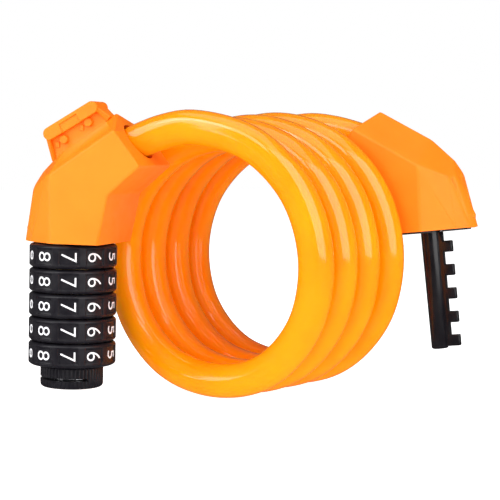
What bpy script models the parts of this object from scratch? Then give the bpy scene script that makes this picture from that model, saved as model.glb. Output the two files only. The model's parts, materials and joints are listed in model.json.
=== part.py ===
"""Coiled cable bicycle lock: five dials on a hollow core, a toothed key plug, and a stiff coiled cable.

Frame: +X runs from the lock head to the plug head, the coil's axis lies along +Y, +Z is up. The
origin is the middle of the object's footprint, and the coil's lowest point rests on z = 0.
Each head has a frame of its own: local +X points along the cable as it leaves, local +Z runs up the
dial stack (or the key), and z = 0 is the rim of the housing. Head sizes are in millimetres.
"""

import math

import bmesh
import bpy
from mathutils import Matrix, Vector

MM = 0.001

# Coil and cable. Routes and seats are measured from the coil's middle, on the floor below its axis
COIL_MIDDLE = (-3.6, 2.7, 0.0)
COIL_RADIUS = 43.9
COIL_TURNS = 4
COIL_PITCH = 14.6
COIL_KNOTS = 12
LAST_TURN_SLANT = 2.2
LOW_CORNER_BULGE = 1.0
TOP_SAGS = ((1, 2.1), (2, 1.0))
TOP_SAG_SPAN = 0.3
END_SPAN = 0.3
FRONT_REACH = 6.1
BACK_REACH = 5.3
LOCK_LEAD = ((-9.3, -38.2, 92.5),)
PLUG_LEAD = ((10.5, 36.6, 93.0),)
CABLE_RADIUS = 6.0
SLEEVE_BORE_RADIUS = 3.7
CORE_RADIUS = 3.1
ROUTE_STEP = 15.0

# Where the two heads sit: middle of the rim, turn about Z, lean about the head's own Y (degrees)
LOCK_SEAT = (-41.9, -48.5, 54.3)
LOCK_TURN = 17.5
LOCK_LEAN = 1.2
PLUG_SEAT = (48.6, 43.2, 57.1)
PLUG_TURN = 188.5
PLUG_LEAN = 5.6

# Housing shared by both heads
HALF_WIDTH = 15.3
WALL = 1.5
RIDGE_FRONT = (15.5, 45.0)
RIDGE_BACK = (-3.5, 32.7)
SPINE_TOP = (-12.1, 23.8)
EAVE_FRONT = (20.6, 39.0)
EAVE_BACK = (-3.0, 23.4)
NOSE = (30.2, 27.0)
THROAT = (18.8, 17.0)
RIM_FRONT = 15.4
RIM_SIDE = -2.0
SPINE_RIM = -18.2
CHEEK_TOP = (-11.8, 8.1, 18.3)
CHEEK_RIM = (-12.9, 8.1)
FLUTE_TOP = (-13.2, 4.0, 19.2)
FLUTE_RIM = (-16.4, 4.0)
CABLE_HOLE = (23.3, 35.0)
CABLE_HOLE_RADIUS = 7.0
CABLE_TILT = 25.0
BOSS_SPOT = (10.5, 10.9)
BOSS_RADIUS = 3.1
BOSS_TOP = 15.0
BOSS_BORE = 1.4
BASE_INSET = 2.4
BASE_SCREW_HOLE = 2.3

# Bracket rail moulded on the lock housing's ridge
RAIL_HALF_WIDTH = 5.0
RAIL_NECK_HALF_WIDTH = 2.6
RAIL_WALL_HALF_WIDTH = 4.5
RAIL_SLOPE = 30.3
RAIL_LENGTH = 22.6
RAIL_THICKNESS = 4.4
RAIL_MIDDLE = (0.2, 41.9)
RAIL_RECESS = (-4.4, 3.2)
RAIL_RECESS_DEPTH = 0.6
STUD_RADIUS = 1.5
STUD_SPOTS = ((-2.6, 35.4), (6.4, 41.4))
STUD_REACH = 3.9

# Dial stack
DIALS = 5
DIAL_PITCH = 8.5
DIAL_TOP = -0.5
DIAL_GAP = 0.3
DIAL_RADIUS = 15.2
DIAL_CHAMFER = 1.1
DIAL_BORE = 9.8
DIAL_DIGITS = 10
GROOVE_WIDTH = 1.1
GROOVE_DEPTH = 0.55
NOTCH_DEPTH = 1.0
NOTCH_WIDTH = 2.0
HUB_RADIUS = 9.4
HUB_BORE = 5.95
HUB_RECESS = 8.5
HUB_FLANGE = 1.7
HUB_KEY_REACH = 10.4
GATE_WIDTH = 3.2

# Core barrel, knob and clip
BARREL_RADIUS = 5.6
BARREL_BORE = 3.75
BARREL_HEAD = 11.0
BARREL_END = -50.4
KEYWAY_WIDTH = 2.9
KNOB_RADIUS = 10.95
KNOB_TOP = -43.2
KNOB_BOTTOM = -50.6
KNOB_KNURLS = 24
CLIP_LEVEL = -47.3
CLIP_GROOVE = 0.9
KNOB_SLOT_TURN = (-216.0, -36.0)

# Plug
SOCKET_RADIUS = 11.25
SOCKET_WALL = 0.75
SOCKET_DEPTH = 7.2
PLUG_BASE_DROP = 0.7
KEY_RADIUS_TOP = 3.5
KEY_RADIUS_END = 3.1
KEY_END = -43.0
TOOTH_REACH = 8.0
WEB_REACH = 4.6
WEB_WIDTH = 2.2
TOOTH_HEIGHT = 4.1
FIRST_TOOTH = -6.2

ORANGE = ((0.92, 0.30, 0.02), 0.55, 0.0)
CABLE_ORANGE = ((0.95, 0.33, 0.01), 0.18, 0.0)
BLACK = ((0.02, 0.02, 0.024), 0.45, 0.0)
STEEL = ((0.60, 0.60, 0.62), 0.32, 1.0)
ZINC = ((0.42, 0.42, 0.44), 0.40, 1.0)
BRASS = ((0.72, 0.52, 0.22), 0.35, 1.0)
ROPE = ((0.50, 0.50, 0.52), 0.42, 1.0)


# ---------------------------------------------------------------- scene helpers
def clear_scene():
    """Remove every object and start two collections, one for parts and one for cutters."""
    for old in list(bpy.data.objects):
        bpy.data.objects.remove(old, do_unlink=True)
    parts = bpy.data.collections.new("coiled_cable_lock")
    cutters = bpy.data.collections.new("cutters")
    for group in (parts, cutters):
        bpy.context.scene.collection.children.link(group)
    return parts, cutters


PARTS, CUTTERS = clear_scene()


def finish_of(name, look):
    """A Principled material with one colour, roughness and metallic value."""
    colour, roughness, metallic = look
    material = bpy.data.materials.new(name)
    material.use_nodes = True
    shader = material.node_tree.nodes["Principled BSDF"]
    shader.inputs["Base Color"].default_value = (*colour, 1.0)
    shader.inputs["Roughness"].default_value = roughness
    shader.inputs["Metallic"].default_value = metallic
    return material


def from_middle(place):
    """A point measured from the coil's middle, in the object's frame (mm)."""
    return Vector(place) + Vector(COIL_MIDDLE)


def head_frame(name, seat, turn, lean):
    """An empty that carries one head's own frame."""
    empty = bpy.data.objects.new(name, None)
    PARTS.objects.link(empty)
    empty.matrix_world = (
        Matrix.Translation(from_middle(seat) * MM)
        @ Matrix.Rotation(math.radians(turn), 4, "Z")
        @ Matrix.Rotation(math.radians(lean), 4, "Y")
    )
    return empty


def as_part(thing, look, parent=None, at=(0, 0, 0)):
    """Put an object among the parts, in its own finish, at a place in its head's frame (mm)."""
    PARTS.objects.link(thing)
    thing.parent = parent
    thing.location = Vector(at) * MM
    thing.data.materials.clear()
    thing.data.materials.append(finish_of(thing.name, look))
    if thing.type == "MESH":
        thing.data.shade_smooth()
        thing.data.set_sharp_from_angle(angle=math.radians(35))
    return thing


def as_cutter(thing, parent=None, at=(0, 0, 0)):
    """Put an object among the cutters."""
    CUTTERS.objects.link(thing)
    thing.parent = parent
    thing.location = Vector(at) * MM
    thing.hide_render = True
    thing.display_type = "WIRE"
    return thing


def carve(thing, tool, operation="DIFFERENCE"):
    """Add an exact Boolean with a tool from the cutters."""
    step = thing.modifiers.new(tool.name, "BOOLEAN")
    step.operation = operation
    step.solver = "EXACT"
    step.object = tool


# ---------------------------------------------------------------- shapes (mm)
def object_of(name, shape):
    """A new mesh object from a bmesh in millimetres."""
    bmesh.ops.scale(shape, vec=(MM, MM, MM), verts=shape.verts)
    mesh = bpy.data.meshes.new(name)
    shape.to_mesh(mesh)
    shape.free()
    return bpy.data.objects.new(name, mesh)


def block(name, low, high):
    """A box between two corners."""
    shape = bmesh.new()
    bmesh.ops.create_cube(shape, size=1.0)
    size = [b - a for a, b in zip(low, high)]
    middle = [(a + b) / 2 for a, b in zip(low, high)]
    bmesh.ops.scale(shape, vec=size, verts=shape.verts)
    bmesh.ops.translate(shape, vec=middle, verts=shape.verts)
    return object_of(name, shape)


def ring_of_blocks(name, count, low, high, first=0.0):
    """Boxes repeated round the Z axis, from the box that lies along +X."""
    shape = bmesh.new()
    size = [b - a for a, b in zip(low, high)]
    middle = [(a + b) / 2 for a, b in zip(low, high)]
    for i in range(count):
        made = bmesh.ops.create_cube(shape, size=1.0)["verts"]
        bmesh.ops.scale(shape, vec=size, verts=made)
        bmesh.ops.translate(shape, vec=middle, verts=made)
        turn = Matrix.Rotation(first + 2 * math.pi * i / count, 3, "Z")
        bmesh.ops.rotate(shape, matrix=turn, verts=made)
    return object_of(name, shape)


def rod(name, radius, start, end, sides=16):
    """A round rod between two points."""
    start, end = Vector(start), Vector(end)
    along = end - start
    shape = bmesh.new()
    bmesh.ops.create_cone(
        shape, cap_ends=True, segments=sides, radius1=radius, radius2=radius, depth=along.length
    )
    bmesh.ops.rotate(shape, matrix=along.to_track_quat("Z", "Y").to_matrix(), verts=shape.verts)
    bmesh.ops.translate(shape, vec=(start + end) / 2, verts=shape.verts)
    return object_of(name, shape)


def turned(name, profile, sides, closed=False, sweep=None):
    """A turned shape from (radius, z) points that run down the outer side, with a Screw modifier."""
    shape = bmesh.new()
    points = [shape.verts.new((r, 0, z)) for r, z in profile]
    pairs = list(zip(points, points[1:]))
    if closed:
        pairs.append((points[-1], points[0]))
    for a, b in pairs:
        shape.edges.new((a, b))
    thing = object_of(name, shape)
    screw = thing.modifiers.new("turn", "SCREW")
    screw.axis = "Z"
    screw.angle = 2 * math.pi if sweep is None else math.radians(sweep)
    screw.steps = sides
    screw.render_steps = sides
    screw.use_merge_vertices = sweep is None
    screw.merge_threshold = 0.00001
    return thing


def meshed(curve):
    """The mesh of a curve object, its caps welded, in place of the curve."""
    bpy.context.scene.collection.objects.link(curve)
    bpy.context.view_layer.update()
    graph = bpy.context.evaluated_depsgraph_get()
    mesh = bpy.data.meshes.new_from_object(curve.evaluated_get(graph))
    name = curve.name
    bpy.data.objects.remove(curve, do_unlink=True)
    shape = bmesh.new()
    shape.from_mesh(mesh)
    bmesh.ops.remove_doubles(shape, verts=shape.verts, dist=0.000001)
    bmesh.ops.recalc_face_normals(shape, faces=shape.faces)
    shape.to_mesh(mesh)
    shape.free()
    mesh.name = name
    return bpy.data.objects.new(name, mesh)


def plate(name, outline, low, high, upright=False):
    """A flat outline given thickness: in XY between two heights, or upright in XZ between two Y."""
    curve = bpy.data.curves.new(name, "CURVE")
    curve.dimensions = "2D"
    curve.fill_mode = "BOTH"
    curve.extrude = (high - low) / 2 * MM
    spline = curve.splines.new("POLY")
    spline.points.add(len(outline) - 1)
    for point, (a, b) in zip(spline.points, outline):
        point.co = (a * MM, b * MM, 0, 1)
    spline.use_cyclic_u = True
    thing = meshed(bpy.data.objects.new(name, curve))
    middle = (low + high) / 2 * MM
    if upright:
        thing.data.transform(Matrix.Translation((0, middle, 0)) @ Matrix.Rotation(math.pi / 2, 4, "X"))
    else:
        thing.data.transform(Matrix.Translation((0, 0, middle)))
    return thing


def wire(name, points, radius, resolution=2, closed=False):
    """A round wire along points in metres."""
    curve = bpy.data.curves.new(name, "CURVE")
    curve.dimensions = "3D"
    curve.bevel_depth = radius * MM
    curve.bevel_resolution = resolution
    curve.use_fill_caps = not closed
    spline = curve.splines.new("POLY")
    spline.points.add(len(points) - 1)
    for point, place in zip(spline.points, points):
        point.co = (*place, 1)
    return bpy.data.objects.new(name, curve)


def arc(middle, radius, start, end, steps):
    """Points on an arc, in degrees."""
    turns = [math.radians(start + (end - start) * i / steps) for i in range(steps + 1)]
    return [(middle[0] + radius * math.cos(t), middle[1] + radius * math.sin(t)) for t in turns]


def inset(outline, distance):
    """A convex counter-clockwise outline moved inwards by a distance."""
    lines = []
    for a, b in zip(outline, outline[1:] + outline[:1]):
        along = (Vector(b) - Vector(a)).normalized()
        lines.append((Vector(a) + Vector((-along.y, along.x)) * distance, along))
    corners = []
    for (p, u), (q, v) in zip(lines[-1:] + lines[:-1], lines):
        share = (q - p).cross(v) / u.cross(v)
        corners.append(tuple(p + u * share))
    return corners


# ---------------------------------------------------------------- cable
def cable_axis():
    """The direction in which the cable leaves a head, in the head's frame."""
    tilt = math.radians(CABLE_TILT)
    return Vector((math.cos(tilt), 0, math.sin(tilt)))


def along_cable(distance, drop=0.0, side=0.0):
    """A head-frame point on the cable's axis, this far out of the hole, and this far below it (mm)."""
    out = cable_axis()
    below = Vector((out.z, 0, -out.x))
    return Vector((CABLE_HOLE[0], 0, CABLE_HOLE[1])) + out * distance + below * drop + Vector((0, side, 0))


def top_sag(turns):
    """How far the coil hangs lower where its inner turns pass over the top (mm)."""
    sag = 0.0
    for at, depth in TOP_SAGS:
        away = abs(turns - at) / TOP_SAG_SPAN
        sag += depth * math.cos(math.pi / 2 * min(away, 1.0)) ** 2
    return sag


def coil_point(turns):
    """A point of the coil's centre line, counted in turns from its top near the lock head (mm)."""
    angle = 2 * math.pi * turns
    slant = LAST_TURN_SLANT * min(max((turns - 2.6) / 0.5, 0.0), 1.0) * math.sin(angle)
    forward = FRONT_REACH * max(1 - turns / END_SPAN, 0.0) ** 2
    backward = BACK_REACH * max(1 - (COIL_TURNS - turns) / END_SPAN, 0.0) ** 2
    bulge = LOW_CORNER_BULGE * math.sin(2 * angle) ** 2 if math.cos(angle) < 0 else 0.0
    x = (COIL_RADIUS + bulge) * math.sin(angle)
    y = COIL_PITCH * (turns - COIL_TURNS / 2) + slant - forward + backward
    z = CABLE_RADIUS + COIL_RADIUS + (COIL_RADIUS + bulge) * math.cos(angle) - top_sag(turns)
    return from_middle((x, y, z))


def cable_route(lock, plug):
    """The whole cable as points in metres: out of the lock, round the coil and into the plug."""
    inner = (-17.5, -10.0, -3.0, 2.5)
    knots = [lock.matrix_world @ (along_cable(s) * MM) for s in inner]
    knots += [from_middle(p) * MM for p in LOCK_LEAD]
    count = COIL_TURNS * COIL_KNOTS
    knots += [coil_point(i / COIL_KNOTS) * MM for i in range(count + 1)]
    knots += [from_middle(p) * MM for p in PLUG_LEAD]
    knots += [plug.matrix_world @ (along_cable(s) * MM) for s in reversed(inner)]
    return even_points(smooth_curve(knots), ROUTE_STEP * MM)


def smooth_curve(knots, steps=12):
    """Closely spaced points on the centripetal Catmull-Rom curve through the knots."""
    padded = [2 * knots[0] - knots[1], *knots, 2 * knots[-1] - knots[-2]]
    points = []
    for a, b, c, d in zip(padded, padded[1:], padded[2:], padded[3:]):
        t1 = (b - a).length ** 0.5
        t2 = t1 + (c - b).length ** 0.5
        t3 = t2 + (d - c).length ** 0.5
        for i in range(steps):
            t = t1 + (t2 - t1) * i / steps
            ab = a.lerp(b, t / t1)
            bc = b.lerp(c, (t - t1) / (t2 - t1))
            cd = c.lerp(d, (t - t2) / (t3 - t2))
            abc = ab.lerp(bc, t / t2)
            bcd = bc.lerp(cd, (t - t1) / (t3 - t1))
            points.append(abc.lerp(bcd, (t - t1) / (t2 - t1)))
    return [*points, knots[-1]]


def even_points(points, step):
    """The same line with points about one step apart."""
    lengths = [0.0]
    for a, b in zip(points, points[1:]):
        lengths.append(lengths[-1] + (b - a).length)
    count = round(lengths[-1] / step)
    out = []
    j = 0
    for i in range(count + 1):
        s = lengths[-1] * i / count
        while j < len(lengths) - 2 and lengths[j + 1] < s:
            j += 1
        share = (s - lengths[j]) / (lengths[j + 1] - lengths[j])
        out.append(points[j].lerp(points[j + 1], min(max(share, 0.0), 1.0)))
    return out


def make_cable(lock, plug):
    """The wire-rope core and the plastic sleeve round it."""
    route = cable_route(lock, plug)
    core = wire("cable_core", route, CORE_RADIUS, resolution=2)
    as_part(core, ROPE)
    open_tube = wire("cable_sleeve", route[1:-1], CABLE_RADIUS, resolution=2, closed=True)
    sleeve = meshed(open_tube)
    as_part(sleeve, CABLE_ORANGE)
    wall = sleeve.modifiers.new("wall", "SOLIDIFY")
    wall.thickness = (CABLE_RADIUS - SLEEVE_BORE_RADIUS) * MM
    wall.offset = -1.0


# ---------------------------------------------------------------- housings
def housing_corners():
    """The outer corners of a housing, without the hollow under its nose."""
    sides = (HALF_WIDTH, -HALF_WIDTH)
    corners = [(x, 0, z) for x, z in (RIDGE_FRONT, RIDGE_BACK, SPINE_TOP)]
    corners += [(SPINE_RIM, 0, 0)]
    for x, z in (EAVE_FRONT, EAVE_BACK, NOSE, (RIM_FRONT, 0), (RIM_SIDE, 0)):
        corners += [(x, y, z) for y in sides]
    for x, y, z in (CHEEK_TOP, (*CHEEK_RIM, 0), FLUTE_TOP, (*FLUTE_RIM, 0)):
        corners += [(x, y, z), (x, -y, z)]
    return corners


def solid_hull(name, corners):
    """A closed convex solid over its corner points."""
    shape = bmesh.new()
    for corner in corners:
        shape.verts.new(corner)
    bmesh.ops.convex_hull(shape, input=shape.verts)
    loose = [v for v in shape.verts if not v.link_faces]
    bmesh.ops.delete(shape, geom=loose, context="VERTS")
    bmesh.ops.dissolve_limit(shape, angle_limit=math.radians(1), verts=shape.verts, edges=shape.edges)
    bmesh.ops.recalc_face_normals(shape, faces=shape.faces)
    return object_of(name, shape)


def applied(thing):
    """The object with its modifiers made real, so that faces can be taken off it."""
    bpy.context.scene.collection.objects.link(thing)
    bpy.context.view_layer.update()
    graph = bpy.context.evaluated_depsgraph_get()
    mesh = bpy.data.meshes.new_from_object(thing.evaluated_get(graph))
    bpy.context.scene.collection.objects.unlink(thing)
    thing.modifiers.clear()
    thing.data = mesh
    return thing


def make_shell(name, frame):
    """One housing: the faceted hood, open below, with its cable hole and its two screw bosses."""
    hood = solid_hull(name, housing_corners())
    beyond = NOSE[0] + 9
    under_nose = [(RIM_FRONT, -1.0), (RIM_FRONT, 0.0), THROAT, NOSE, (beyond, NOSE[1]), (beyond, -1.0)]
    hollow = as_cutter(plate(name + "_nose_cut", under_nose, -HALF_WIDTH - 3, HALF_WIDTH + 3, upright=True))
    carve(hood, hollow)
    hood = applied(hood)
    open_below(hood.data)
    as_part(hood, ORANGE, frame)
    wall = hood.modifiers.new("wall", "SOLIDIFY")
    wall.thickness = WALL * MM
    wall.offset = -1.0
    wall.use_even_offset = True
    for side in (1, -1):
        spot = (BOSS_SPOT[0], side * BOSS_SPOT[1])
        label = f"{name}_boss_{'left' if side > 0 else 'right'}"
        boss = rod(label, BOSS_RADIUS, (*spot, 2.1), (*spot, BOSS_TOP), sides=12)
        carve(hood, as_cutter(boss, frame), "UNION")
        bore = rod(label + "_bore", BOSS_BORE, (*spot, 1.0), (*spot, BOSS_TOP - 3), sides=10)
        carve(hood, as_cutter(bore, frame))
    hole = rod(name + "_cable_hole", CABLE_HOLE_RADIUS, along_cable(-6.0), along_cable(9.0), sides=20)
    carve(hood, as_cutter(hole, frame))
    return hood


def open_below(mesh):
    """Take off the faces that lie in the rim's plane."""
    shape = bmesh.new()
    shape.from_mesh(mesh)
    flat = [f for f in shape.faces if f.calc_center_median().z < 0.0001 and abs(f.normal.z) > 0.99]
    bmesh.ops.delete(shape, geom=flat, context="FACES")
    shape.to_mesh(mesh)
    shape.free()


def rail_point(along, up):
    """A point of the rail's side view, measured along and square to its slope."""
    slope = math.radians(RAIL_SLOPE)
    x = RAIL_MIDDLE[0] + along * math.cos(slope) - up * math.sin(slope)
    z = RAIL_MIDDLE[1] + along * math.sin(slope) + up * math.cos(slope)
    return x, z


def add_rail(hood, frame):
    """The T-shaped rail along the ridge, with a stud on each side of its neck at two places."""
    end, half = RAIL_LENGTH / 2, RAIL_THICKNESS / 2
    outline = [rail_point(*p) for p in arc((end - half, 0), half, -90, 90, 6)]
    outline += [rail_point(*p) for p in arc((-end + half, 0), half, 90, 270, 6)]
    flange = plate("rail_flange", outline, -RAIL_HALF_WIDTH, RAIL_HALF_WIDTH, upright=True)
    low, high = RAIL_RECESS
    for side in (1, -1):
        corners = ((low, -half - 1), (high, -half - 1), (high, 0.9), (low, 0.9))
        pocket = [rail_point(*corner) for corner in corners]
        inner, outer = sorted((side * (RAIL_HALF_WIDTH - RAIL_RECESS_DEPTH), side * (RAIL_HALF_WIDTH + 1)))
        label = f"rail_pocket_{'left' if side > 0 else 'right'}"
        carve(flange, as_cutter(plate(label, pocket, inner, outer, upright=True), frame))
    neck = [rail_point(-end + 1.6, 0), (-6.6, 27.2), (-2.0, 30.2), (12.6, 39.8), (12.8, 44.3)]
    neck.append(rail_point(end - 1.0, 0))
    stem = plate("rail_neck", neck, -RAIL_NECK_HALF_WIDTH, RAIL_NECK_HALF_WIDTH, upright=True)
    carve(hood, as_cutter(stem, frame), "UNION")
    low_top = (rail_point(-end + 0.3, -0.8), rail_point(-end + 1.5, -1.5))
    high_top = (rail_point(end - 1.5, -1.5), rail_point(end - 0.3, -0.8))
    low_foot = ((-7.3, 27.6), (-5.6, 28.6))
    high_foot = ((13.0, 41.6), (14.2, 43.6))
    for label, top, foot in (("low", low_top, low_foot), ("high", high_top, high_foot)):
        corners = [(x, side * RAIL_WALL_HALF_WIDTH, z) for x, z in top for side in (1, -1)]
        corners += [(x, side * RAIL_NECK_HALF_WIDTH, z) for x, z in foot for side in (1, -1)]
        carve(hood, as_cutter(solid_hull(f"rail_{label}_wall", corners), frame), "UNION")
    carve(hood, as_cutter(flange, frame), "UNION")
    for i, (x, z) in enumerate(STUD_SPOTS):
        stud = rod(f"rail_stud_{i + 1}", STUD_RADIUS, (x, -STUD_REACH, z), (x, STUD_REACH, z), sides=10)
        carve(hood, as_cutter(stud, frame), "UNION")


def base_outline():
    """The plate that closes a housing, just inside the rim, counter-clockwise."""
    right = [(SPINE_RIM, 0), (FLUTE_RIM[0], -FLUTE_RIM[1]), (CHEEK_RIM[0], -CHEEK_RIM[1])]
    right += [(RIM_SIDE, -HALF_WIDTH), (RIM_FRONT, -HALF_WIDTH)]
    left = [(x, -y) for x, y in reversed(right[1:])]
    return inset(right + left, BASE_INSET)


def make_base(name, frame, low, high, opening):
    """A base plate with a round opening and two screw holes."""
    base = plate(name, base_outline(), low, high)
    as_part(base, BLACK, frame)
    mouth = rod(name + "_mouth", opening, (0, 0, low - 1), (0, 0, high + 1), sides=28)
    carve(base, as_cutter(mouth, frame))
    for side in (1, -1):
        spot = (BOSS_SPOT[0], side * BOSS_SPOT[1])
        label = f"{name}_screw_hole_{'left' if side > 0 else 'right'}"
        hole = rod(label, BASE_SCREW_HOLE, (*spot, low - 1), (*spot, high + 1), sides=12)
        carve(base, as_cutter(hole, frame))
    return base


def make_base_screws(prefix, frame, low):
    """The two screws that hold a base plate to the housing's bosses."""
    for side, word in ((1, "left"), (-1, "right")):
        profile = [(0, 9.0), (1.0, 9.0), (1.0, low + 1.5), (1.9, low + 1.2), (1.9, low), (0, low)]
        screw = turned(f"{prefix}_base_screw_{word}", profile, 12)
        as_part(screw, STEEL, frame, (BOSS_SPOT[0], side * BOSS_SPOT[1], 0))
        slot = block(screw.name + "_slot", (-2.5, -0.35, low - 0.5), (2.5, 0.35, low + 0.5))
        carve(screw, as_cutter(slot, frame, (BOSS_SPOT[0], side * BOSS_SPOT[1], 0)))


def make_ferrule(prefix, frame):
    """The steel ferrule crimped on the core's end, and the pin that keeps it in its housing."""
    profile = [(7.0, 5.25), (7.0, 2.9), (5.0, 2.9), (5.0, -2.4), (7.0, -2.4), (7.0, -5.25)]
    profile += [(3.45, -5.25), (3.45, 5.25)]
    ferrule = turned(f"{prefix}_ferrule", profile, 24, closed=True)
    as_part(ferrule, ZINC, frame, along_cable(-10.4))
    ferrule.rotation_euler = (0, math.radians(90 - CABLE_TILT), 0)
    pin_at = along_cable(-10.1, drop=6.6)
    reach = HALF_WIDTH - WALL - 0.8
    pin = rod(f"{prefix}_ferrule_pin", 1.3, (0, -reach, 0), (0, reach, 0), sides=12)
    as_part(pin, STEEL, frame, pin_at)


# ---------------------------------------------------------------- dials and core
def make_barrel(frame):
    """The hollow core that carries the dials, with its keyway, spring flat, clip groove and cross pin."""
    groove_top, groove_low = CLIP_LEVEL + CLIP_GROOVE / 2, CLIP_LEVEL - CLIP_GROOVE / 2
    profile = [(0, 12.0), (BARREL_HEAD, 12.0), (BARREL_HEAD, 2.2), (8.8, 2.2), (8.8, 6.5)]
    profile += [(BARREL_RADIUS, 6.5), (BARREL_RADIUS, groove_top), (4.8, groove_top)]
    profile += [(4.8, groove_low), (BARREL_RADIUS, groove_low)]
    profile += [(BARREL_RADIUS, BARREL_END), (BARREL_BORE, BARREL_END), (BARREL_BORE, 1.5), (0, 1.5)]
    barrel = as_part(turned("core_barrel", profile, 28), ZINC, frame)
    half = KEYWAY_WIDTH / 2
    keyway = block("barrel_keyway", (-8.0, -half, BARREL_END - 1), (-1.0, half, -0.7))
    flat = block("barrel_spring_flat", (4.45, -2.0, -42.2), (6.5, 2.0, -0.7))
    cross = rod("barrel_cross_hole", 1.6, (4.4, -12, 8.0), (4.4, 12, 8.0), sides=12)
    for tool in (keyway, flat, cross):
        carve(barrel, as_cutter(tool, frame))
    reach = HALF_WIDTH - WALL - 0.8
    pin = rod("barrel_pin", 1.25, (4.4, -reach, 8.0), (4.4, reach, 8.0), sides=12)
    as_part(pin, STEEL, frame)


def make_detent_spring(frame):
    """The spring strip that clicks the hub rings, with one bump for each dial."""
    steps = 6 * DIALS
    top, low = DIAL_TOP - 1.2, DIAL_TOP - DIALS * DIAL_PITCH + 1.5
    heights = [top + (low - top) * i / steps for i in range(steps + 1)]
    lift = [0.3 * max(0.0, math.sin(math.pi * (i % 6) / 6)) for i in range(steps + 1)]
    outer = [(5.2 + up, z) for up, z in zip(lift, heights)]
    inner = [(4.85 + up, z) for up, z in zip(lift, heights)]
    strip = plate("detent_spring", outer + inner[::-1], -1.5, 1.5, upright=True)
    as_part(strip, STEEL, frame)


def make_hub_spring(frame):
    """The coil spring that presses the hub rings towards the knob."""
    turns, per_turn = 2.5, 12
    points = []
    for i in range(int(turns * per_turn) + 1):
        angle = 2 * math.pi * i / per_turn
        rise = 0.25 + 5.4 * i / (turns * per_turn)
        points.append(Vector((7.25 * math.cos(angle), 7.25 * math.sin(angle), rise)) * MM)
    spring = wire("hub_spring", points, 0.4)
    as_part(spring, STEEL, frame)


def dial_level(i):
    """The height of the underside of dial i."""
    return DIAL_TOP - i * DIAL_PITCH - (DIAL_PITCH - DIAL_GAP)


def make_dials(frame):
    """Five dials and the hub ring inside each one."""
    height = DIAL_PITCH - DIAL_GAP
    tall = height + 2
    panels = ring_of_blocks(
        "dial_grooves",
        DIAL_DIGITS,
        (DIAL_RADIUS - GROOVE_DEPTH, -GROOVE_WIDTH / 2, -1),
        (DIAL_RADIUS + 2, GROOVE_WIDTH / 2, tall - 1),
        first=math.pi / DIAL_DIGITS,
    )
    notches = ring_of_blocks(
        "dial_notches",
        DIAL_DIGITS,
        (DIAL_BORE - 1, -NOTCH_WIDTH / 2, -1),
        (DIAL_BORE + NOTCH_DEPTH, NOTCH_WIDTH / 2, tall - 1),
    )
    gate = block("hub_gate", (-HUB_RECESS, -GATE_WIDTH / 2, -1), (-3.0, GATE_WIDTH / 2, tall - 1))
    rib = block("hub_rib", (HUB_RADIUS - 0.6, -0.65, 2.0), (HUB_KEY_REACH, 0.65, height - 2.0))
    edge = DIAL_CHAMFER
    face = [(DIAL_RADIUS - edge, height), (DIAL_RADIUS, height - edge * 0.8), (DIAL_RADIUS, edge * 0.8)]
    face += [(DIAL_RADIUS - edge, 0), (DIAL_BORE, 0), (DIAL_BORE, height)]
    upper, lower = height - HUB_FLANGE, HUB_FLANGE
    ring = [(HUB_RADIUS, height), (HUB_RADIUS, 0), (HUB_BORE, 0), (HUB_BORE, lower), (HUB_RECESS, lower)]
    ring += [(HUB_RECESS, upper), (HUB_BORE, upper), (HUB_BORE, height)]
    for tool in (panels, notches, gate, rib):
        as_cutter(tool)
    for i in range(DIALS):
        level = (0, 0, dial_level(i))
        dial = as_part(turned(f"dial_{i + 1}", face, 30, closed=True), BLACK, frame, level)
        hub = as_part(turned(f"hub_ring_{i + 1}", ring, 24, closed=True), BRASS, frame, level)
        for thing, tools in ((dial, (panels, notches)), (hub, (gate,))):
            for tool in tools:
                copy = as_cutter(tool.copy(), frame, level)
                carve(thing, copy)
        carve(hub, as_cutter(rib.copy(), frame, level), "UNION")
    for tool in (panels, notches, gate, rib):
        bpy.data.objects.remove(tool, do_unlink=True)


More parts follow.
